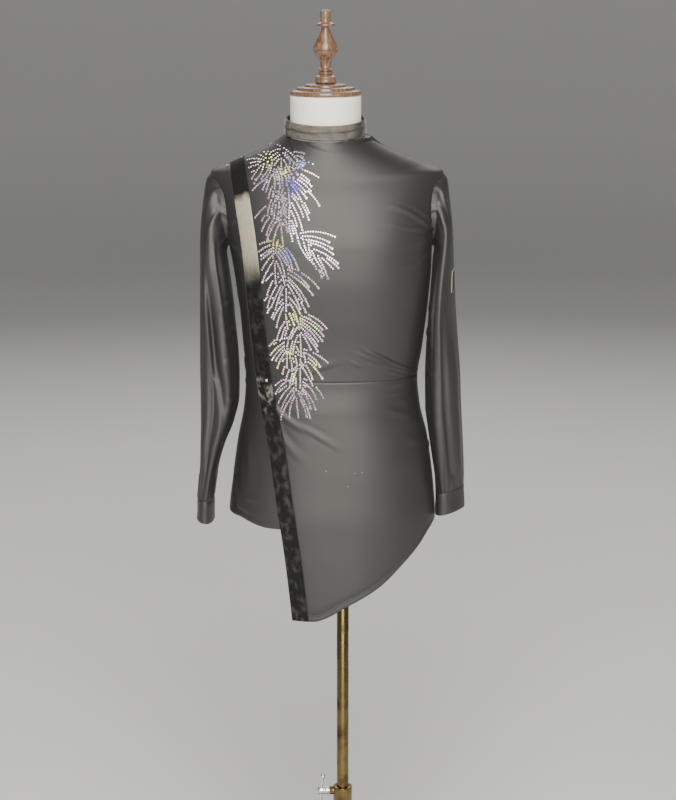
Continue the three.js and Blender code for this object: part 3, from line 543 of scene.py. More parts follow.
BACK_CREASES = table(
    "x0 z0 x1 z1 x2 z2 width height sprung",
    (126, 1136, 80, 1160, 30, 1168, 5.5, 2.0, 1),
    (126, 1122, 76, 1124, 34, 1132, 5, 1.7, 1),
    (124, 1104, 92, 1094, 66, 1092, 4.4, 1.4, 1),
    (-166, 1138, -120, 1158, -74, 1172, 6, 2.1, 1),
    (-166, 1120, -128, 1120, -88, 1112, 4.6, 1.6, 1),
    (-164, 1096, -124, 1080, -70, 1078, 5.6, 1.8, 1),
    (52, 1142, -16, 1134, -82, 1146, 8, 1.9, 0),
    (70, 1096, 6, 1088, -50, 1096, 7, 1.5, 0),
    (154, 1372, 118, 1408, 86, 1452, 7, 2.2, 1),
    (156, 1392, 132, 1432, 112, 1470, 5, 1.6, 1),
    (152, 1350, 112, 1342, 70, 1352, 6, 1.3, 1),
    (-200, 1372, -166, 1402, -138, 1446, 6.4, 2.1, 1),
    (-200, 1390, -178, 1430, -166, 1462, 4.6, 1.5, 1),
    (-198, 1350, -156, 1338, -112, 1340, 6, 1.4, 1),
    (60, 880, 52, 950, 64, 1040, 9, 1.8, 0),
    (-84, 868, -92, 930, -86, 1010, 8, 1.6, 0),
    (-10, 870, -6, 940, -16, 1000, 10, 1.3, 0),
    (8, 1549, 50, 1538, 100, 1512, 5, 1.6, 1),
    (-66, 1549, -104, 1536, -150, 1508, 5.4, 1.5, 1),
    (-20, 1540, -26, 1500, -22, 1450, 10, 0.9, 0),
)

band_x = column(BAND, "z", "x")
long_hem = column(LONG_HEM, "x", "z")


def front_angle(x, z):
    """The angle of the point on the front at this distance across and height."""
    return np.arccos(signed_power(np.clip((x - middle(z)) / side(z), -1, 1), square(z) / 2))


def band_line(z, share):
    """The angle of a line along the velvet band, at this share of its width from the middle."""
    return front_angle(band_x(z) + share * BAND_WIDTH, z)


def arm_angle(z, depth):
    """How far the armhole reaches round from the side of the body, as an angle."""
    share = (z - ARMHOLE["middle"]) / ARMHOLE["half"]
    y = ARMHOLE["reach"] * np.sqrt(np.maximum(1 - share * share, 0))
    return np.arcsin(np.minimum(1, (y / depth(z)) ** (square(z) / 2)))


def band_top(share):
    """The height at which a line along the band comes to the shoulder."""
    z = ARMHOLE["middle"] + ARMHOLE["half"]
    while z < NECKLINE and band_x(z) + share * BAND_WIDTH > middle(z) - side(z) + 3:
        z += 0.5
    return z


def crease_paths(surface, rows):
    """The lines of the creases on a surface, with the direction across each."""
    paths = []
    for row in zip(*rows.values()):
        a0, b0, a1, b1, a2, b2, width, height, sprung = row
        t = np.linspace(0, 1, 19)
        bend_a, bend_b = 2 * a1 - (a0 + a2) / 2, 2 * b1 - (b0 + b2) / 2
        a = (1 - t) ** 2 * a0 + 2 * t * (1 - t) * bend_a + t * t * a2
        b = (1 - t) ** 2 * b0 + 2 * t * (1 - t) * bend_b + t * t * b2
        points, normals = surface(a, b)
        ahead = np.gradient(points, axis=0)
        paths.append((points, ahead, unit(np.cross(normals, ahead)), width, height, sprung))
    return paths


def creased(points, paths):
    """How far the creases lift the cloth at these points. A crease is steeper on one side, and a shallow
    trough runs along both."""
    flat = points.reshape(-1, 3)
    lift = np.zeros(len(flat))
    for path, ahead, across, width, height, sprung in paths:
        reach = 4.5 * width
        near = np.all((flat > path.min(0) - reach) & (flat < path.max(0) + reach), axis=1)
        if not near.any():
            continue
        offset = flat[near][:, None, :] - path
        nearest = (offset**2).sum(-1).argmin(-1)
        offset = offset[np.arange(len(nearest)), nearest]
        forward = ahead[nearest]
        slide = np.clip((offset * forward).sum(-1) / (forward**2).sum(-1), -0.5, 0.5)
        offset = offset - slide[:, None] * forward
        t = np.clip((nearest + slide) / (len(path) - 1), 0, 1)
        distance = np.linalg.norm(offset, axis=-1)
        lean = 1 + 0.28 * np.tanh((offset * across[nearest]).sum(-1) / (0.4 * width))
        spread = width * (0.75 + 0.5 * t) * lean
        end = 1 - smooth(t, 0.4, 1)
        strength = end if sprung else end * smooth(t, 0, 0.4)
        shape = np.exp(-((distance / spread) ** 2)) - 0.3 * np.exp(-((distance / spread - 1.9) ** 2) / 0.6)
        lift[near] += height * strength * shape
    return lift.reshape(points.shape[:-1])


def eased(points):
    """The shallow unevenness of cloth that lies on a soft form."""
    x, y, z = np.moveaxis(points, -1, 0)
    slow = np.sin(x / 31 + 1.1 * np.sin(z / 57)) * np.sin(z / 46 + y / 60)
    quick = np.sin(x / 13.7 + z / 29 + 1.7) * np.sin(z / 21.3 - x / 40 + 0.4)
    return 0.24 * slow + 0.07 * quick


EDGE_SUNK = [0.25, 1.6]


def folded_edge(lines, first=True):
    """Grid lines of a piece whose last edge, or first and last, turn inwards, and how far each is sunk."""
    sunk = np.zeros(len(lines))
    if first:
        lines, sunk = np.concatenate([lines[:1], lines]), np.concatenate([EDGE_SUNK[::-1], sunk[1:]])
    return np.concatenate([lines, lines[-1:]]), np.concatenate([sunk[:-1], EDGE_SUNK])


HEM_TURN = np.array([9.5, 1.0, 0.25, 0, 0.3, 1.2, 4.5, 7.5, 8.6, 9.6, 11.2, 12.2, 13.2])
HEM_SUNK = np.array([2.3, 2.3, 1.8, 1.15, 0.35, 0, 0, 0.05, 0.4, 0.05, 0.05, 0.4, 0.05])
# The rows of the hem that its two lines of stitches press into the cloth
HEM_GROOVES = (8, 11)
ARM_LEVELS = ARMHOLE["middle"] - ARMHOLE["half"] * np.cos(np.linspace(0, math.pi, 56))


def levels_between(low, high, spacing=3.0):
    """Heights of a panel's rows, closer together at the armhole's ends and on the shoulder."""
    count = max(2, round((min(high, ARM_LEVELS[0]) - low) / spacing))
    parts = [np.linspace(low, min(high, ARM_LEVELS[0]), count)]
    if high > ARM_LEVELS[0]:
        parts.append(ARM_LEVELS[(ARM_LEVELS > ARM_LEVELS[0]) & (ARM_LEVELS < high)])
        parts.append(np.linspace(ARM_LEVELS[-1] + 1.2, high, max(2, round((high - ARM_LEVELS[-1]) / 1.4))))
    return np.concatenate(parts)


def even_shares(start, end, z, count):
    """Shares of a panel's width that are evenly spaced along the cloth at height z."""
    shares = np.linspace(0, 1, 400)
    path = body(start(z) + (end(z) - start(z)) * shares, z)
    run = np.concatenate([[0], np.cumsum(np.linalg.norm(np.diff(path, axis=0), axis=-1))])
    return np.interp(np.linspace(0, run[-1], count), run, shares)


def measured_uv(points):
    """Distances along the cloth from its middle, in metres, for the weave to follow."""
    across = np.linalg.norm(np.diff(points, axis=1), axis=-1)
    across = np.pad(np.cumsum(across, axis=1), ((0, 0), (1, 0)))
    up = np.linalg.norm(np.diff(points[:, points.shape[1] // 2], axis=0), axis=-1)
    up = np.pad(np.cumsum(up), (1, 0))[:, None] + 0 * across
    return np.stack([across - across[:, -1:] / 2, up], axis=-1) * MM


def walled(piece, wall):
    """Gives a sheet its thickness, inwards from its outer face."""
    shell = piece.modifiers.new("cloth", "SOLIDIFY")
    shell.thickness = wall * MM
    shell.offset = -1


def panel(name, shares, sunk_columns, heights, sunk_rows, start, end, lift, wall=SATIN, thickness=CLOTH):
    """A panel of cloth on the worn shirt's form, and its grid of points and outward directions."""
    angle = start(heights) + (end(heights) - start(heights)) * shares
    points, normals = body_surface(angle, heights)
    out = thickness + lift(shares, heights) + creased(points, body_creases) + eased(points)
    out = out - np.maximum(sunk_rows[:, None], sunk_columns[None, :])
    points = points + normals * out[..., None]
    piece = surface_mesh(name, points, measured_uv(points))
    walled(piece, wall)
    return piece, points, normals


body_creases = crease_paths(lambda x, z: body_surface(front_angle(x, z), z), FRONT_CREASES)
body_creases += crease_paths(lambda x, z: body_surface(-front_angle(x, z), z), BACK_CREASES)

satin, flat = material("stretch_satin", "UV", {
    "Specular IOR Level": 0.6, "Specular Tint": (1, 0.97, 0.9, 1),
    "Sheen Weight": 0.02, "Sheen Roughness": 0.4,
})
ribs = flat.stretched(1450, 900, 1).node("TexChecker", {"Scale": 1.0}, output=1)
fine = flat.stretched(1200, 700, 1).noise(1.0, detail=1)
drift = flat.noise(14, detail=3)
paint(satin, {
    "Base Color": drift.mix((0.016, 0.016, 0.0165, 1), (0.023, 0.023, 0.023, 1)),
    "Roughness": 0.43 + 0.06 * drift + 0.04 * fine,
    "Normal": (fine * 0.7 + ribs * 0.3).bump(0.00003, 0.6),
})


def left_front(z):
    return arm_angle(z, front)


def right_front(z):
    return math.pi - arm_angle(z, front)


def overlaid(z):
    """Below the waist the band lies on the right front, and so stands out further."""
    return OVERLAY * (1 - smooth(z, WAIST_SEAM - 60, WAIST_SEAM - 8))


def hem_wave(share, z):
    """The tip of the long front hangs free in a shallow wave."""
    return HEM_WAVE * (1 - smooth(z, 700, 930)) * (0.5 - 0.5 * np.cos(11 * share))


def long_lift(share, z):
    return overlaid(z) * smooth(share, 0.3, 0.8) + hem_wave(share, z) * share


def inner_band(z):
    return band_line(z, 0.5)


inner_top, outer_top = band_top(0.5), band_top(-0.5)


def beside_band(z):
    return np.where(z < inner_top, band_line(z, 0.5), right_front(z))


def no_lift(share, z):
    return 0 * z


shares, sunk = folded_edge(even_shares(left_front, beside_band, 1250, 164))
rows, sunk_rows = folded_edge(levels_between(WAIST_SEAM, NECKLINE, spacing=2.1))
front_upper, points, normals = panel(
    "front_upper_cloth", shares, sunk, rows[:, None] + 0 * shares, sunk_rows, left_front, beside_band,
    no_lift,
)
dress(front_upper, satin, "satin", "form", "front_upper")


def side_line(z):
    return 0 * z


def long_hem_rows(shares, start, end, turned, first_climb, count):
    """Heights of rows from the long hem's curve up to the waist seam, and how far each is sunk. The turned
    edge of the hem has the first few lines."""
    hem = np.full(shares.shape, float(HEM))
    for _ in range(30):
        angle = start(hem) + (end(hem) - start(hem)) * shares
        hem = long_hem(body(angle, hem)[..., 0])
    climb = np.linspace(first_climb, 1, count)[:, None]
    rows = np.concatenate([hem + HEM_TURN[:turned, None], hem + (WAIST_SEAM - hem) * climb])
    sunk_rows = np.concatenate([HEM_SUNK[:turned], np.zeros(count - 1), EDGE_SUNK])
    return np.concatenate([rows, rows[-1:]]), sunk_rows


shares, sunk = folded_edge(even_shares(side_line, inner_band, 1000, 108))
rows, sunk_rows = long_hem_rows(shares, side_line, inner_band, len(HEM_TURN), 0.06, 96)
front_lower, points, normals = panel(
    "front_lower_cloth", shares, sunk, rows, sunk_rows, side_line, inner_band, long_lift,
)
dress(front_lower, satin, "satin", "form", "front_lower")


def stitches(name, lines, length=2.3, pitch=3.1):
    """Rows of machine stitches along lines of points on the cloth, as one mesh of small spindles."""
    spindle = np.array([(1, 0, 0), (0, 1, 0), (0, 0, 1), (0, -1, 0), (0, 0, -1), (-1, 0, 0)])
    sides = np.array([
        (0, 1, 2), (0, 2, 3), (0, 3, 4), (0, 4, 1), (5, 2, 1), (5, 3, 2), (5, 4, 3), (5, 1, 4),
    ])
    made = []
    for points, normals in lines:
        run = np.pad(np.cumsum(np.linalg.norm(np.diff(points, axis=0), axis=-1)), (1, 0))
        at = np.arange(2, run[-1] - 2, pitch)
        place = np.stack([np.interp(at, run, points[:, k]) for k in range(3)], axis=-1)
        out = unit(np.stack([np.interp(at, run, normals[:, k]) for k in range(3)], axis=-1))
        ahead = np.gradient(place, axis=0)
        ahead = unit(ahead - (ahead * out).sum(-1, keepdims=True) * out)
        across = np.cross(out, ahead)
        axes = np.stack([ahead * length / 2, across * 0.26, out * 0.24], axis=1)
        made.append(place[:, None, :] + out[:, None, :] * 0.12 + spindle @ axes)
    corners = np.concatenate(made)
    faces = (np.arange(len(corners))[:, None, None] * len(spindle) + sides).reshape(-1, 3)
    return dress(meshed(name, corners, faces.tolist()), thread, "satin", "form")


thread, spot = material("black_thread", "Object", {"Roughness": 0.5, "Specular IOR Level": 0.6})
paint(thread, {"Base Color": spot.noise(300).mix((0.012, 0.012, 0.013, 1), (0.035, 0.035, 0.037, 1))})


def hem_stitches(name, points, normals):
    """The two rows of hem stitches, each in its groove and clear of the side edges."""
    return stitches(name, [(points[row, 2:-2], normals[row, 2:-2]) for row in HEM_GROOVES])


long_stitches = hem_stitches("long_hem_stitches", points, normals)


def behind_band(z):
    """The short right front runs on behind the long front panel, below the waist."""
    under = UNDERLAP * (1 - smooth(z, WAIST_SEAM - 110, WAIST_SEAM - 50))
    x = band_x(z) - 0.5 * BAND_WIDTH
    return front_angle(x + under, z)


def shy_lift(share, z):
    """The right front lies a little closer where it runs on behind the band."""
    return -0.35 * (1 - smooth(share, 0, 0.4)) * (1 - smooth(z, WAIST_SEAM - 90, WAIST_SEAM))


def level_hem_rows(shares, start, end, top, spacing=3.0):
    """Heights of rows from the level hem up, and how far each is sunk. The side seam on the wearer's right
    draws the hem up towards it."""
    rows, sunk_rows = folded_edge(levels_between(HEM + 16, top, spacing), first=False)
    rows = np.concatenate([HEM + HEM_TURN, rows])[:, None]
    angle = start(rows) + (end(rows) - start(rows)) * shares
    drawn = HEM_RISE * smooth(np.abs(angle), 2.1, 2.65) * (1 - smooth(rows, HEM, HEM + 160))
    return rows + drawn, np.concatenate([HEM_SUNK, sunk_rows])


shares, sunk = folded_edge(even_shares(behind_band, right_front, 1000, 56))
heights, sunk_rows = level_hem_rows(shares, behind_band, right_front, outer_top)
front_right, points, normals = panel(
    "front_right_cloth", shares, sunk, heights, sunk_rows, behind_band, right_front, shy_lift,
)
dress(front_right, satin, "satin", "form", "front_right")
right_stitches = hem_stitches("right_hem_stitches", points, normals)


def back_start(z):
    return -arm_angle(z, back)


def back_end(z):
    return -math.pi + arm_angle(z, back)


shares, sunk = folded_edge(even_shares(back_start, back_end, 1200, 124))
heights, sunk_rows = level_hem_rows(shares, back_start, back_end, NECKLINE, spacing=3.4)
back_cloth, points, normals = panel(
    "back_cloth", shares, sunk, heights, sunk_rows, back_start, back_end, no_lift,
)
dress(back_cloth, satin, "satin", "form", "back")
back_stitches = hem_stitches("back_hem_stitches", points, normals)


# The velvet band. It is let in along the right side of the long front, in two lengths that meet at the waist
# seam. The pile lies one way on the chest, where its shine is a painted sheen that makes a pale stretch of
# its colour, and is crushed in patches lower down, where painted sheen and painted highlights lighten it.
VELVET = 1.9
PILE = 1.1
# The pile bulges over the seams a little, so the band reaches past half its width
BAND_REACH = 0.522

velvet, flat = material("crushed_velvet", "UV", {
    "Specular IOR Level": 0.2, "Sheen Weight": 0.12, "Sheen Roughness": 0.35,
    "Sheen Tint": (0.9, 0.87, 0.8, 1),
})
across = flat.node("SeparateXYZ", {"Vector": flat}, output=0)
height = flat.node("SeparateXYZ", {"Vector": flat}, output=1)
tufts = flat.stretched(260, 110, 1).noise(1.0, detail=3)
crush = flat.stretched(95, 48, 1).noise(1.0, detail=4, roughness=0.6)
# Painted sheen: a pale beige stretch of the band's colour on the chest, about 1.31 m to 1.47 m up, with
# ragged ends.
slanted = height + 0.35 * across + 0.022 * crush
band_painted_sheen = slanted.step(1.305, 1.372) * slanted.step(1.472, 1.456) * (0.5 + 0.5 * tufts)
# The crushed patches are smoother, and a painted sheen lightens their colour a little.
crushed_patch_sheen = crush.step(0.44, 0.72) * height.step(1.36, 1.25)
# Painted highlights: pale patches in the colour where the band is crumpled, just below the waist seam.
worn = crush.step(0.47, 0.66) * height.step(1.055, 1.075) * height.step(1.13, 1.115)
lower = worn.mix(crushed_patch_sheen.mix((0.006, 0.006, 0.006, 1), (0.034, 0.033, 0.03, 1)), (0.17, 0.158, 0.135, 1))
paint(velvet, {
    "Base Color": band_painted_sheen.mix(lower, (0.44, 0.39, 0.3, 1)),
    "Roughness": 0.85 - 0.25 * crushed_patch_sheen - 0.25 * band_painted_sheen - 0.2 * worn,
    "Normal": (tufts * 0.4 + crush).bump(0.0009, 0.7),
})


def crowned(share, z):
    """The band stands up a little along its middle, and is uneven where it is crushed."""
    uneven = np.sin(z / 5.3 + 4 * share) * np.sin(z / 11.7 + 1.3) * (1 - smooth(z, 1240, 1330))
    return 0.75 * (1 - (2 * share - 1) ** 4) + 0.35 * uneven * (1 - (2 * share - 1) ** 2)


def outer_band(z):
    return band_line(z, -BAND_REACH)


def band_start(z):
    return band_line(z, BAND_REACH)


def lower_band_lift(share, z):
    return overlaid(z) + hem_wave(1, z) + crowned(share, z)


def upright_uv(piece, points):
    """Lets the pile follow the height of each point, so that its finish, with its painted sheen and painted
    highlights, changes along the band.
    """
    across = np.linspace(0, BAND_WIDTH, points.shape[1]) + 0 * points[..., 2]
    places = np.stack([across, points[..., 2]], -1).reshape(-1, 2) * MM
    index = np.zeros(len(piece.data.loops), np.int32)
    piece.data.loops.foreach_get("vertex_index", index)
    piece.data.uv_layers[0].data.foreach_set("uv", places[index].astype(np.float32).ravel())


shares, sunk = folded_edge(np.linspace(0, 1, 17))
upright = np.linspace(WAIST_SEAM, inner_top, 200)
turning = np.linspace(0.16, 0.995, 6)
rows, sunk_rows = folded_edge(np.concatenate([upright, inner_top + 0 * turning]))
ridge = inner_top + (outer_top - inner_top) * shares
heights = np.minimum(rows[:, None], ridge - (inner_top - rows[:, None]) / 40)
turned_back = np.concatenate([[0], 0 * upright, turning, turning[-1:]])[:, None]
heights = heights + 1.8 * turned_back * (1 - shares)


def to_seam(line):
    """The band's last rows turn back over the shoulder to its seam, where the band is sewn in."""
    return lambda z: line(z) + (math.pi - line(z)) * turned_back


band_upper, points, normals = panel(
    "band_upper_velvet", shares, sunk, heights, sunk_rows, to_seam(band_start), to_seam(outer_band),
    crowned, PILE, VELVET,
)
upright_uv(band_upper, points)
dress(band_upper, velvet, "velvet", "form", "trim_upper")

rows, sunk_rows = long_hem_rows(shares, band_start, outer_band, 6, 0.035, 190)
band_lower, points, normals = panel(
    "band_lower_velvet", shares, sunk, rows, sunk_rows, band_start, outer_band,
    lower_band_lift, PILE, VELVET,
)
upright_uv(band_lower, points)
dress(band_lower, velvet, "velvet", "form", "trim_lower")


# The collar. A standing band of the same velvet, folded double along its top, whose outer end laps over its
# inner end on the wearer's right. It has sagged into one fold that runs round its middle. Its colour has
# painted shade in that fold, along its foot and on its sides, and a painted sheen on its front.
COLLAR_HEIGHT = 27
COLLAR_LENGTH = 0.46
COLLAR_LAP = 0.5
COLLAR_END = 2.6
GROOVE_HEIGHT = 14.5

collar_share = np.linspace(0, 1, 300)
collar_angle = COLLAR_END + COLLAR_LAP - collar_share * (2 * math.pi + COLLAR_LAP)
lapped = 2.4 * smooth(collar_share, 0.78, 0.92)
climb = np.array([
    -0.4, -0.2, 0.6, 2, 4, 6.5, 9, 11, 12.6, 13.8, 15, 16.4, 18.4, 21, 23.5, 25.5, 26.6, 27, 26.6, 24,
])
press = np.array([2.4, 1.2, 0.5, 0.1, 0, 0, 0, 0, 0, 0, 0, 0, 0, 0, 0, 0.2, 0.6, 1.3, 2.0, 2.1])
waver = 1.6 * np.sin(2.3 * collar_angle + 0.5) + 0.8 * np.sin(5.1 * collar_angle)
deep = 2.1 + 0.6 * np.sin(1.7 * collar_angle + 2.2)
rise = climb[:, None]
groove = np.exp(-(((rise - GROOVE_HEIGHT - waver) / 1.8) ** 2))
fold = 1.3 * np.sin(np.pi * rise / COLLAR_HEIGHT) - deep * groove
rumple = 0.35 * np.sin(collar_angle * 19 + rise / 3) * np.sin(collar_angle * 7.3 + 1) * (rise > 1)
near_end = smooth(collar_share, 0.9885, 1) ** 2
roll = 1.7 * np.exp(-(((collar_share - 0.975) / 0.011) ** 2))
base = body(collar_angle, NECKLINE)
outward = base - np.array([NECK[0], 0, 0])
outward[:, 2] = 0
outward = unit(outward)
far = lapped + VELVET - rise / COLLAR_HEIGHT - press[:, None] + fold + rumple + roll - 2.0 * near_end
points = base + outward * far[..., None]
points[..., 2] = base[:, 2] + CLOTH + 0.3 + rise
uv = np.stack([collar_share * COLLAR_LENGTH + 0 * rise, 0.5 + rise * MM + 0 * collar_share], -1)
collar = surface_mesh("collar_velvet", points, uv, inside=NECK)
shade = collar.data.attributes.new("groove", "FLOAT", "POINT")
turned_to = (collar_angle + math.pi) % (2 * math.pi) - math.pi
# Painted shade on the collar's sides: only its front, from about 0.5 to 2.8 radians round, keeps the painted
# sheen.
painted_side_shade = 1 - smooth(turned_to, 0.5, 1.0) * (1 - smooth(turned_to, 2.5, 2.8))
# Painted shade in the fold's groove and along the collar's foot, joined with the painted shade on its sides,
# kept in the attribute named groove.
painted_shade_amount = np.maximum(groove * (0.75 + 0.25 * np.sin(collar_angle * 3)), painted_side_shade * 0.9) + 0.5 * (rise < 1.5)
shade.data.foreach_set("value", painted_shade_amount.astype(np.float32).ravel())
walled(collar, PILE)

velvet_with_painted_sheen, flat = material("velvet_with_painted_sheen", "UV", {
    "Specular IOR Level": 0.3, "Sheen Weight": 0.4, "Sheen Roughness": 0.35,
    "Sheen Tint": (0.9, 0.87, 0.8, 1),
})
nap = flat.stretched(70, 150, 1).noise(1.0, detail=4, roughness=0.6)
tufts = flat.stretched(420, 700, 1).noise(1.0, detail=2)
# The painted shade darkens the collar's colour towards near black.
painted_shade_share = flat.node("Attribute", {}, output=2, attribute_name="groove") * 0.85
# Painted sheen: the front's pale colour, mottled by the nap's random tone.
nap_and_painted_sheen = nap.step(0.2, 0.8).mix((0.07, 0.063, 0.054, 1), (0.16, 0.143, 0.12, 1))
paint(velvet_with_painted_sheen, {
    "Base Color": painted_shade_share.mix(nap_and_painted_sheen, (0.012, 0.011, 0.01, 1)),
    "Roughness": 0.75 - 0.15 * nap,
    "Normal": (nap * 0.5 + tufts * 0.3).bump(0.0005, 0.6),
})
dress(collar, velvet_with_painted_sheen, "velvet", "form", "collar")


# The sleeves. Each is one piece of the satin with a seam under the arm. They hang empty and flattened, with
# their wide way from front to back, so they fall into long folds and break at the elbow and over the cuff.
RIGHT_SLEEVE = table(
    "outer_x outer_z inner_x inner_z half y square",
    (234, 1482.2, 207, 1353.8, 48.2, 0, 2),
    (242, 1473, 211, 1353.6, 48.6, 0, 2),
    (249, 1443, 212.5, 1343, 57, -2, 2.1),
    (253.5, 1408, 211.5, 1333, 61, -3, 2.25),
    (256.5, 1365, 209.5, 1318, 64, -4, 2.5),
    (257.5, 1318, 206, 1293, 66, -5, 2.65),
    (258.5, 1264, 201.5, 1256, 66, -6, 2.75),
    (259, 1210, 197, 1210, 65, -7, 2.8),
    (259.5, 1165, 192.5, 1165, 63, -8, 2.8),
    (260, 1120, 190.5, 1120, 61, -9, 2.8),
    (260, 1075, 191.5, 1075, 60, -10, 2.75),
    (260, 1035, 200, 1035, 60, -11, 2.7),
    (261, 990, 218, 990, 60, -12, 2.6),
    (262, 952, 229, 952, 58, -13, 2.5),
    (264, 920, 235, 918, 53, -14, 2.4),
    (267, 890, 240, 886, 46, -15, 2.3),
)
LEFT_SLEEVE = table(
    "outer_x outer_z inner_x inner_z half y square",
    (177, 1482.2, 159, 1353.8, 48.2, 0, 2),
    (184.5, 1473, 165.5, 1353.6, 48.6, 0, 2),
    (190, 1440, 167, 1342, 57, -2, 2.1),
    (195, 1404, 165.5, 1332, 62, -3, 2.15),
    (198.5, 1360, 163.5, 1317, 65, -4, 2.2),
    (201, 1315, 161.2, 1292, 67, -5, 2.2),
    (204, 1264, 158.2, 1256, 68, -6, 2.2),
    (207.5, 1210, 155, 1210, 67, -7, 2.2),
    (211, 1165, 152.5, 1165, 65, -8, 2.2),
    (214.5, 1120, 151, 1120, 63, -9, 2.15),
    (217, 1065, 152, 1065, 61, -10, 2.1),
    (219.5, 1020, 157, 1020, 59, -11, 2.1),
    (222, 974, 164.5, 972, 54, -12, 2.1),
    (223.5, 942, 170, 937, 48, -13, 2.1),
    (224, 923, 172, 916, 43, -14, 2.05),
    (223.5, 907, 172.5, 898, 38, -15, 2),
)
# The large folds: where each lies round the sleeve, its width in radians, its depth, and the rows of the
# sleeve's table between which it runs.
RIGHT_FOLDS = table(
    "angle width depth start end",
    (0.5, 0.26, -5, 4, 14), (0.95, 0.24, 3, 3, 14), (1.4, 0.22, -6, 5, 15), (1.9, 0.28, 3, 4, 13),
    (2.5, 0.3, -6, 5, 13), (3.9, 0.36, -7, 5, 14), (5.1, 0.3, -8, 3, 13), (5.8, 0.25, 4, 5, 13),
)
LEFT_FOLDS = table(
    "angle width depth start end",
    (0.5, 0.26, 4, 7, 15), (0.95, 0.28, -6, 6, 15), (2.2, 0.32, -5, 6, 13),
    (4.1, 0.34, -7, 5, 13), (5.3, 0.3, -8, 4, 14),
)
LAST_STEP = 15
SLEEVE_COLUMNS = 128
SLEEVE_RADIUS = 0.045
RIGHT_MIDDLE = (-232, -8)
LEFT_MIDDLE = (184, -8)
# The front edge of each empty sleeve hangs this much nearer to the body than its middle
RIGHT_LEAN = 0
LEFT_LEAN = 13
# Creases by angle round the sleeve and row of its table
RIGHT_CREASES = table(
    "a0 s0 a1 s1 a2 s2 width height sprung",
    (0.9, 0.2, 0.7, 2.2, 0.55, 5.5, 6, 2.6, 1),
    (1.6, 0.2, 1.35, 1.8, 1.15, 4.2, 4.5, 2.0, 1),
    (2.5, 0.3, 2.2, 1.8, 1.8, 3.2, 4.5, 1.8, 1),
    (4.0, 0.3, 4.4, 1.8, 4.7, 3.6, 5, 2.0, 1),
    (5.2, 0.2, 5.4, 2.0, 5.5, 4.6, 5.5, 2.2, 1),
    (2.9, 5.6, 2.2, 6.1, 1.6, 6.2, 5, 1.9, 0),
    (3.3, 6.6, 2.5, 7.2, 1.7, 7.1, 4.6, 2.2, 0),
    (2.8, 7.9, 2.1, 8.2, 1.4, 8.7, 5, 1.7, 0),
    (3.5, 7.2, 4.2, 7.5, 4.8, 8.1, 5, 1.9, 0),
    (3.2, 9.4, 2.3, 9.9, 1.5, 9.7, 4.6, 1.8, 0),
    (3.4, 10.2, 4.2, 10.7, 4.9, 10.5, 5, 1.6, 0),
    (1.28, 4.4, 1.55, 8.8, 2.35, 13.4, 6, -5.2, 0),
    (1.8, 2.0, 1.98, 5.5, 2.15, 9.8, 4.6, -3.4, 0),
    (0.8, 3.2, 0.85, 7.5, 1.05, 12.8, 4.6, -2.8, 0),
    (0.4, 14.9, 0.5, 13.7, 0.3, 12.4, 3.6, 1.9, 1),
    (1.0, 14.9, 1.1, 13.9, 1.0, 12.9, 3.2, 1.6, 1),
    (1.7, 14.9, 1.7, 13.6, 1.9, 12.2, 4, 2.2, 1),
    (2.6, 14.9, 2.5, 14.0, 2.6, 13.2, 3.2, 1.5, 1),
    (3.6, 14.9, 3.7, 13.8, 3.5, 12.8, 3.8, 1.9, 1),
    (4.5, 14.9, 4.4, 14.0, 4.5, 13.0, 3.2, 1.6, 1),
    (5.4, 14.9, 5.5, 13.7, 5.4, 12.5, 3.8, 2.0, 1),
)
LEFT_CREASES = table(
    "a0 s0 a1 s1 a2 s2 width height sprung",
    (0.8, 0.2, 0.75, 2.0, 0.8, 4.4, 5.5, 2.3, 1),
    (1.5, 0.2, 1.35, 1.8, 1.25, 4.6, 4.6, 2.2, 1),
    (2.4, 0.3, 2.1, 1.8, 1.8, 3.4, 4.8, 1.7, 1),
    (4.2, 0.3, 4.5, 1.9, 4.9, 3.4, 5, 2.1, 1),
    (5.4, 0.2, 5.5, 2.2, 5.7, 4.2, 5, 1.8, 1),
    (3.0, 5.9, 2.3, 6.4, 1.5, 6.6, 5, 1.9, 0),
    (3.3, 7.0, 2.4, 7.4, 1.7, 7.9, 4.6, 2.1, 0),
    (3.4, 6.4, 4.1, 6.8, 4.9, 6.7, 5, 1.8, 0),
    (2.7, 8.6, 2.0, 8.9, 1.3, 8.7, 4.8, 1.6, 0),
    (3.5, 8.3, 4.3, 8.9, 5.0, 9.3, 5.2, 1.9, 0),
    (3.0, 10.0, 2.2, 10.5, 1.5, 10.9, 4.8, 1.7, 0),
    (1.2, 4.6, 1.12, 9.5, 0.98, 14.4, 6, -5.0, 0),
    (1.9, 3.0, 1.85, 7.5, 1.95, 12.0, 4.6, -2.6, 0),
    (0.3, 14.9, 0.3, 13.5, 0.4, 12.0, 3.6, 2.0, 1),
    (1.0, 14.9, 0.9, 13.8, 1.0, 12.9, 3.2, 1.5, 1),
    (1.6, 14.9, 1.7, 13.3, 1.6, 11.8, 4, 2.3, 1),
    (2.4, 14.9, 2.4, 13.9, 2.6, 13.1, 3.2, 1.6, 1),
    (3.5, 14.9, 3.4, 13.6, 3.6, 12.4, 3.6, 1.8, 1),
    (4.4, 14.9, 4.5, 13.9, 4.4, 12.9, 3.2, 1.6, 1),
    (5.3, 14.9, 5.2, 13.5, 5.3, 12.2, 3.8, 1.9, 1),
)


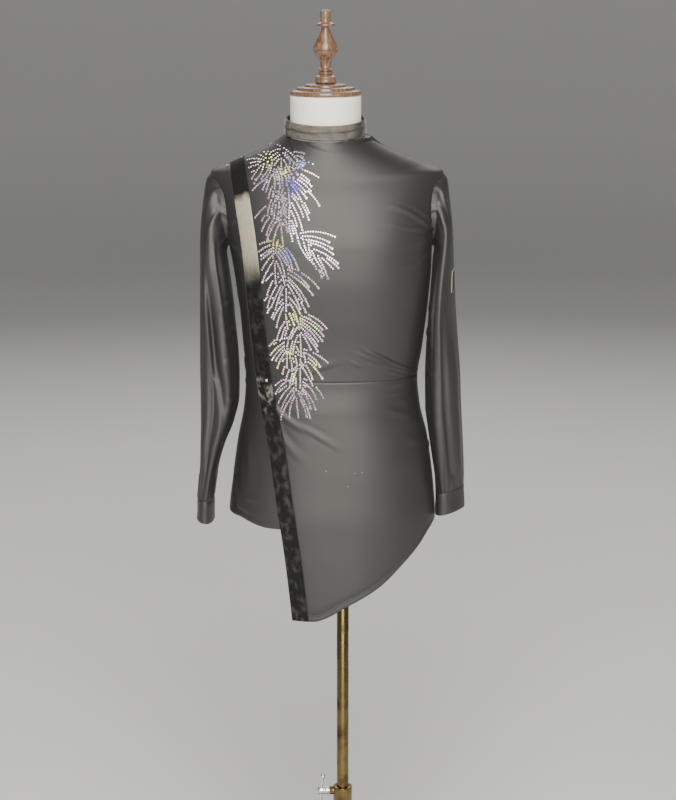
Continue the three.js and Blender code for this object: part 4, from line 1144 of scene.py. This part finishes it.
def sleeve_form(sign, rows, folds, lean):
    """The empty sleeve's inside, by the angle round it and the row of its table."""
    rows = dict(rows, step=np.arange(len(rows["y"]), dtype=float))
    columns = ("outer_x", "outer_z", "inner_x", "inner_z", "half", "y", "square")
    outer_x, outer_z, inner_x, inner_z, half, middle_y, squareness = (
        column(rows, "step", name) for name in columns
    )
    start_middle = (outer_x(0) + inner_x(0)) / 2
    start_span = (outer_x(0) - inner_x(0)) / 2

    def side_x(z, y):
        depth = np.where(y < 0, front(z), back(z))
        return side(z) * (1 - (np.abs(y) / depth) ** square(z)) ** (1 / square(z)) + sign * middle(z)

    def point(angle, step):
        power = 2 / squareness(step)
        w = signed_power(np.cos(angle), power)
        v = signed_power(np.sin(angle), power)
        leaning = lean * smooth(step, 3, 7)
        span_x = np.sqrt(((outer_x(step) - inner_x(step)) / 2) ** 2 - leaning**2)
        span_z = (outer_z(step) - inner_z(step)) / 2
        x = (outer_x(step) + inner_x(step)) / 2 + span_x * w - leaning * v
        y = middle_y(step) - half(step) * v
        z = (outer_z(step) + inner_z(step)) / 2 + span_z * w
        armhole_x = side_x(ARMHOLE["middle"] + (ARMHOLE["half"] - CLOTH - 0.3) * w, -half(0) * v)
        x = x + (armhole_x - start_middle - start_span * w) * (1 - smooth(step, 0, 3))
        level = np.hypot(np.cos(angle) / span_x, np.sin(angle) / half(step))
        for fold_angle, width, depth, start, end in zip(*folds.values()):
            strength = smooth(step, start, start + 2.5) * (1 - smooth(step, end - 2.5, end))
            push = depth * strength * np.exp(-(((angle - fold_angle) / width) ** 2))
            x = x + push * np.cos(angle) / span_x / level
            y = y - push * np.sin(angle) / half(step) / level
        return np.stack([sign * x, y, z], axis=-1)

    def surface(angle, step):
        angle, step = np.broadcast_arrays(np.asarray(angle, float), np.asarray(step, float))
        low = np.clip(step - 1e-2, 0, LAST_STEP - 2e-2)
        round_it = point(angle + 1e-2, step) - point(angle - 1e-2, step)
        down_it = point(angle, low + 2e-2) - point(angle, low)
        return point(angle, step), sign * unit(np.cross(round_it, down_it))

    return surface


def sleeve(name, surface, creases, inside):
    """A sleeve of cloth on its form, whose first edge turns in at the armhole and last at the cuff."""
    angle = np.linspace(0, 2 * math.pi, SLEEVE_COLUMNS, endpoint=False)
    steps, sunk = folded_edge(np.linspace(0, LAST_STEP, 220))
    angle, steps = np.broadcast_arrays(angle[None, :], steps[:, None])
    points, normals = surface(angle, steps)
    seam = -0.8 * np.exp(-(((angle - math.pi) * 30) ** 2))
    out = CLOTH + creased(points, crease_paths(surface, creases)) + eased(points * 1.3) + seam - sunk[:, None]
    points = points + normals * out[..., None]
    uv = np.stack([angle * SLEEVE_RADIUS, -points[..., 2] * MM + 1.5], -1)
    piece = surface_mesh(name, points, uv, closed=True, inside=inside)
    walled(piece, SATIN)
    return piece


right_form = sleeve_form(-1, RIGHT_SLEEVE, RIGHT_FOLDS, RIGHT_LEAN)
left_form = sleeve_form(1, LEFT_SLEEVE, LEFT_FOLDS, LEFT_LEAN)
right_sleeve = sleeve("right_sleeve_cloth", right_form, RIGHT_CREASES, RIGHT_MIDDLE)
dress(right_sleeve, satin, "satin", "form", "sleeve_right")
left_sleeve = sleeve("left_sleeve_cloth", left_form, LEFT_CREASES, LEFT_MIDDLE)
dress(left_sleeve, satin, "satin", "form", "sleeve_left")


# The cuffs. A plain band of doubled satin on the end of each sleeve, with a row of stitches just above its
# folded lower edge.
CUFF_HEIGHT = 42
CUFF_RADIUS = 0.03
CUFF_DROP = np.array([0, 0, 0.8, 3, 8, 14, 20, 26, 31, 35, 37.6, 38.4, 39.2, 41, 41.7, 42, 41.8, 41, 36])
CUFF_SUNK = np.array([2.2, 0.6, 0.1, 0, 0, 0, 0, 0, 0, 0, 0, 0.35, 0, 0.05, 0.4, 1.1, 1.8, 2.1, 2.1])
CUFF_GROOVE = 11
angle = np.linspace(0, 2 * math.pi, SLEEVE_COLUMNS, endpoint=False)
for name, surface, node, inside, sleeve_cloth in (
    ("right_cuff", right_form, "cuff_right", (-253, -15), "right_sleeve_cloth"),
    ("left_cuff", left_form, "cuff_left", (198, -15), "left_sleeve_cloth"),
):
    ring, normals = surface(angle, LAST_STEP)
    drop = CUFF_DROP[:, None]
    ripple = 0.5 * np.sin(angle * 4 + drop / 9) * np.sin(np.pi * drop / CUFF_HEIGHT)
    out = CLOTH + 0.5 + ripple + 0.35 * np.sin(angle * 2 + 1) * drop / CUFF_HEIGHT - CUFF_SUNK[:, None]
    out = out + 1.8 * np.maximum(np.cos(angle), 0) * (drop / CUFF_HEIGHT) ** 1.5
    points = ring + normals * out[..., None]
    points[..., 2] = ring[:, 2] - 0.3 - drop + 0.6 * np.sin(angle * 3) * drop / CUFF_HEIGHT
    uv = np.stack([angle * CUFF_RADIUS + 0 * drop, 0.5 + drop * MM + 0 * angle], -1)
    cuff = surface_mesh(name + "_cloth", points, uv, closed=True, inside=inside)
    walled(cuff, SATIN)
    dress(cuff, satin, "satin", "form", node)
    loop = np.concatenate([points[CUFF_GROOVE], points[CUFF_GROOVE, :1]])
    away = np.concatenate([normals, normals[:1]])
    row = stitches(name + "_stitches", [(loop, away)])


# The sleeve patch. A small plain woven patch with a pale overlocked edge, sewn flat on the outside of the
# wearer's left sleeve.
PATCH_PLACE = {"from_angle": 0.05, "to_angle": 0.5, "from_step": 5.05, "to_step": 5.85}
PATCH_WIDTH = 30
PATCH_HEIGHT = 42
TWILL = 0.8
across, up = np.meshgrid(np.linspace(0, 1, 17), np.linspace(0, 1, 25))
from_angle, to_angle, from_step, to_step = PATCH_PLACE.values()
patch_angle = from_angle + (to_angle - from_angle) * across
patch_step = from_step + (to_step - from_step) * up
points, normals = left_form(patch_angle, patch_step)
border = np.minimum(np.minimum(across, 1 - across) * PATCH_WIDTH, np.minimum(up, 1 - up) * PATCH_HEIGHT)
rise = creased(points, crease_paths(left_form, LEFT_CREASES)) + eased(points * 1.3)
out = CLOTH + 1.3 + rise + 0.45 * np.exp(-(((border - 1.1) / 0.8) ** 2)) - 0.9 * (border < 0.1)
points = points + normals * out[..., None]
uv = np.stack([across * PATCH_WIDTH, up * PATCH_HEIGHT], -1) * MM
patch = surface_mesh("plain_patch", points, uv, inside=LEFT_MIDDLE)
walled(patch, TWILL)

twill, flat = material("patch_twill", "UV", {"Roughness": 0.75, "Specular IOR Level": 0.3})
place = flat.node("SeparateXYZ", {"Vector": flat}, output=0)
rise = flat.node("SeparateXYZ", {"Vector": flat}, output=1)
near_side = place.math("MINIMUM", place, PATCH_WIDTH * MM - place)
near_end = place.math("MINIMUM", rise, PATCH_HEIGHT * MM - rise)
edge = place.math("MINIMUM", near_side, near_end).step(0.0026, 0.0018)
overlock = place.math("SINE", place * 9000 + rise * 9000)
twill_lines = place.math("SINE", place * 12000 - rise * 7000)
paint(twill, {
    "Base Color": edge.mix((0.045, 0.045, 0.05, 1), (0.3, 0.285, 0.22, 1)),
    "Normal": (edge * overlock + (1 - edge) * twill_lines * 0.4).bump(0.0001, 0.7),
})
dress(patch, twill, "patch", "form", "sleeve_patch")


# The stones. Flat-backed foiled crystals with a coloured coat, glued in rows to the front: tufts of curved
# barbs that overlap in a spray beside the band. The last stone of each barb is larger. Their coloured flares
# are painted reflections in the coats' colour, with painted glints that glow.
STONE = 3.85
# Each plume: where it springs from, the way it points (in degrees from straight down, towards the wearer's
# left), the length and bend of its stem, its pairs of barbs, their length, and how far they stand out from
# the stem at their roots and at their ends.
PLUMES = table(
    "x z heading length bend pairs barb root_angle end_angle",
    (-126, 1521, -64, 24, 22, 6, 44, 76, 20),
    (-108, 1538, -8, 16, 8, 5, 40, 88, 46),
    (-102, 1528, 46, 18, -14, 6, 38, 78, 30),
    (-114, 1514, -34, 30, 14, 6, 54, 80, 24),
    (-104, 1508, 16, 34, -8, 7, 66, 84, 30),
    (-100, 1478, 12, 34, -8, 7, 72, 72, 18),
    (-106, 1448, -10, 42, 12, 8, 64, 74, 20),
    (-82, 1388, 57, 54, -24, 8, 64, 52, 8),
    (-114, 1378, -16, 40, 14, 7, 62, 78, 26),
    (-104, 1334, 10, 36, -8, 6, 76, 70, 28),
    (-102, 1296, -6, 40, 10, 6, 58, 74, 22),
    (-84, 1250, 16, 40, -10, 8, 66, 78, 26),
    (-94, 1208, -14, 34, 10, 6, 54, 72, 22),
    (-80, 1184, 10, 36, -8, 7, 62, 76, 26),
    (-84, 1132, -2, 38, 6, 8, 68, 82, 20),
)
# Loose stones: those on the shoulders are of the usual width, and those on the belly are small. One large
# stone is set on the band at the waist seam.
STRAYS = [
    (-181, 1510), (-207, 1497), (-131, 1534), (-60, 1518), (-53, 1514),
    (-30, 960), (22, 956), (34, 957), (8, 932),
]
STRAY_WIDTH = 1.8
WAIST_STONE = (-137, 1119)
WAIST_STONE_WIDTH = 6.5
BAND_STEP = 1.0
STONE_SUNK = 0.05

CURVE_STEPS = 29
FACETS = 8
# The rings of a stone as shares of its width: how far out, how high, and how far turned
STONE_RINGS = [(0.5, 0.0, 0), (0.5, 0.1, 0), (0.27, 0.3, math.pi / FACETS)]

rng = np.random.default_rng(11)
spots, sizes = [], []


def has_cloth(x, z):
    """Whether this place is on the satin, clear of the band, the side and the collar."""
    beside = x >= band_x(z) + BAND_WIDTH / 2 + 3.5
    return beside and abs(x - middle(z)) <= side(z) - 5 and z <= NECKLINE - 5


def lay_row(path, size, end_size):
    """Stones along a line, one beside the next, where there is still room for them."""
    run = np.pad(np.cumsum(np.linalg.norm(np.diff(path, axis=0), axis=-1)), (1, 0))
    at = np.arange(0, run[-1], size * 1.14)
    for number, distance in enumerate(at):
        spot = np.array([np.interp(distance, run, path[:, k]) for k in range(2)]) + rng.normal(0, 0.1, 2)
        wide = end_size if number == len(at) - 1 else size
        if not has_cloth(*spot):
            continue
        if all(np.hypot(*(spot - other)) > 0.5 * (wide + far) for other, far in zip(spots, sizes)):
            spots.append(spot)
            sizes.append(wide)
        elif number > 7:
            break


def curve_from(start, aim, end_aim, length):
    """A line that leaves its start at one angle from straight down and has turned to another at its end."""
    t = np.linspace(0, 1, CURVE_STEPS + 1)
    aims = np.radians(aim + (end_aim - aim) * t**0.8)
    steps = np.stack([np.sin(aims), -np.cos(aims)], -1) * length / CURVE_STEPS
    return np.array(start) + np.cumsum(steps, axis=0)


for x, z, heading, length, bend, pairs, barb, root_angle, end_angle in zip(*PLUMES.values()):
    stem = curve_from((x, z), heading, heading + bend, length)
    lay_row(curve_from(stem[-1], heading + bend, heading + bend * 1.6, barb * 0.62), STONE, STONE * 1.25)
    for pair in range(int(pairs)):
        along = pair / pairs
        root = stem[int(along * CURVE_STEPS)]
        for side_sign in (-1, 1):
            aim = heading + bend * along + side_sign * root_angle * (1 - 0.62 * along) + rng.normal(0, 3)
            end = heading + bend * along + side_sign * end_angle * (1 - 0.55 * along) + rng.normal(0, 4)
            reach = barb * (1 - 0.22 * along) * (1, 0.84, 0.94)[pair % 3] * rng.uniform(0.9, 1.08)
            path = curve_from(root, aim, end, reach)
            lay_row(path[2:], STONE, STONE * 1.25)
    lay_row(stem, STONE, STONE)
for spot in STRAYS:
    spots.append(np.array(spot, float))
    sizes.append(STONE if spot[1] > WAIST_SEAM else STRAY_WIDTH)
spots.append(np.array(WAIST_STONE, float))
sizes.append(WAIST_STONE_WIDTH)
spots, sizes = np.array(spots), np.array(sizes)

x, z = spots[:, 0], spots[:, 1]
angle = front_angle(x, z)
points, normals = body_surface(angle, z)
share = angle / np.maximum(inner_band(z), 1e-6)
on_band = x < band_x(z) + BAND_WIDTH / 2
out = CLOTH + creased(points, body_creases) + eased(points) + np.where(z < WAIST_SEAM, long_lift(share, z), 0)
out = out + np.where(on_band, BAND_STEP, 0) - STONE_SUNK
points = points + normals * out[:, None]

here = np.arange(FACETS)
after = (here + 1) % FACETS
around = 2 * math.pi * here / FACETS
stone = np.concatenate([
    np.stack([far * np.cos(around + shift), far * np.sin(around + shift), np.full(FACETS, up)], -1)
    for far, up, shift in STONE_RINGS
])
girdle = np.stack([here, after, after + FACETS, here + FACETS], -1).tolist()
crown = np.stack([here + FACETS, after + FACETS, here + 2 * FACETS], -1).tolist()
crown += np.stack([after + FACETS, after + 2 * FACETS, here + 2 * FACETS], -1).tolist()
stone_faces = girdle + crown + [(here + 2 * FACETS).tolist()]

across = unit(np.cross(normals, np.array([0, 0, 1.0])))
up_it = np.cross(across, normals)
spin = rng.uniform(0, math.pi / 4, len(points))
first = across * np.cos(spin)[:, None] + up_it * np.sin(spin)[:, None]
second = np.cross(normals, first)
tip = rng.normal(0, 0.1, (len(points), 2))
out_it = unit(normals + first * tip[:, :1] + second * tip[:, 1:])
axes = np.stack([first, second, out_it], axis=1) * sizes[:, None, None]
corners = points[:, None, :] + stone @ axes
faces = [[number * len(stone) + i for i in face] for number in range(len(points)) for face in stone_faces]
stones = meshed("crystals", corners, faces, soft=False)

# The stones' coats, and the places where many of them throw back one colour, each with its radius. That
# colour is a painted reflection in the coats and a painted glint that glows.
COATS = np.array([
    (1.0, 0.8, 0.9), (0.97, 0.7, 0.86), (1.0, 0.94, 0.96), (1.0, 0.88, 0.74), (0.76, 0.68, 1.0),
])
PAINTED_FLARE_SPOTS = [
    (-93, 1474, 15, (0.4, 0.28, 1.0)), (-80, 1462, 9, (0.25, 0.24, 1.0)),
    (-134, 1520, 15, (0.95, 0.92, 0.55)), (-106, 1496, 10, (1.0, 0.97, 0.62)),
    (-70, 1512, 8, (0.4, 0.62, 1.0)), (-64, 1452, 9, (0.85, 0.95, 0.5)),
    (-96, 1352, 9, (0.35, 0.45, 1.0)), (-118, 1374, 12, (0.9, 0.82, 0.35)),
    (-14, 1366, 8, (0.5, 1.0, 0.55)), (-72, 1300, 8, (0.75, 0.95, 0.45)),
    (-84, 1240, 14, (0.9, 0.92, 0.32)), (-48, 1222, 8, (0.62, 0.95, 0.4)),
    (-124, 1180, 10, (1.0, 0.9, 0.35)), (-92, 1172, 10, (0.95, 0.98, 0.5)),
    (-50, 1150, 9, (0.8, 0.98, 0.4)), (-112, 1150, 8, (0.95, 0.9, 0.3)),
    (-88, 1128, 8, (0.9, 1.0, 0.6)),
]
tint = COATS[rng.choice(len(COATS), len(points), p=[0.36, 0.26, 0.18, 0.1, 0.1])]
painted_sparkle = 0 * tint
# Painted reflection: near each spot the coat's colour is painted towards the flare's colour, and a painted
# glint glows in it.
for flare_x, flare_z, radius, colour in PAINTED_FLARE_SPOTS:
    weight = np.exp(-((x - flare_x) ** 2 + (z - flare_z) ** 2) / radius**2)[:, None]
    tint = tint * (1 - weight) + np.array(colour) * weight
    painted_sparkle = np.maximum(painted_sparkle, weight * np.array(colour) ** 1.5 * rng.uniform(0, 1, (len(points), 1)) ** 2)


def colour_faces(name, per_face):
    """A colour for each face of each stone, as an attribute that the material reads."""
    counts = [len(face) for face in stone_faces]
    per_corner = np.repeat(per_face.reshape(-1, 3), np.tile(counts, len(points)), axis=0)
    per_corner = np.pad(per_corner, ((0, 0), (0, 1)), constant_values=1)
    attribute = stones.data.color_attributes.new(name, "FLOAT_COLOR", "CORNER")
    attribute.data.foreach_set("color", per_corner.astype(np.float32).ravel())


tint = np.repeat(tint[:, None, :], len(stone_faces), axis=1)
colour_faces("stone_tint_and_painted_flares", np.clip(tint * rng.uniform(0.78, 1.08, tint.shape), 0, 1))
colour_faces("painted_sparkle_light", np.repeat(painted_sparkle[:, None, :], len(stone_faces), axis=1))

# The emission is a painted glint: the stones glow with the flares' colours, though they are no lamp.
foiled, spot = material("foiled_crystal", "Object", {
    "Metallic": 0.85, "Coat Weight": 1.0, "Coat Roughness": 0.02, "Specular IOR Level": 0.9,
    "Emission Strength": 2.0,
})
stone_tint_with_painted_flares = spot.node("Attribute", {}, attribute_name="stone_tint_and_painted_flares")
painted_sparkle_colour = spot.node("Attribute", {}, attribute_name="painted_sparkle_light")
paint(foiled, {
    "Base Color": stone_tint_with_painted_flares, "Roughness": 0.06 + 0.06 * spot.noise(900), "Emission Color": painted_sparkle_colour,
})
dress(stones, foiled, "satin", "form")
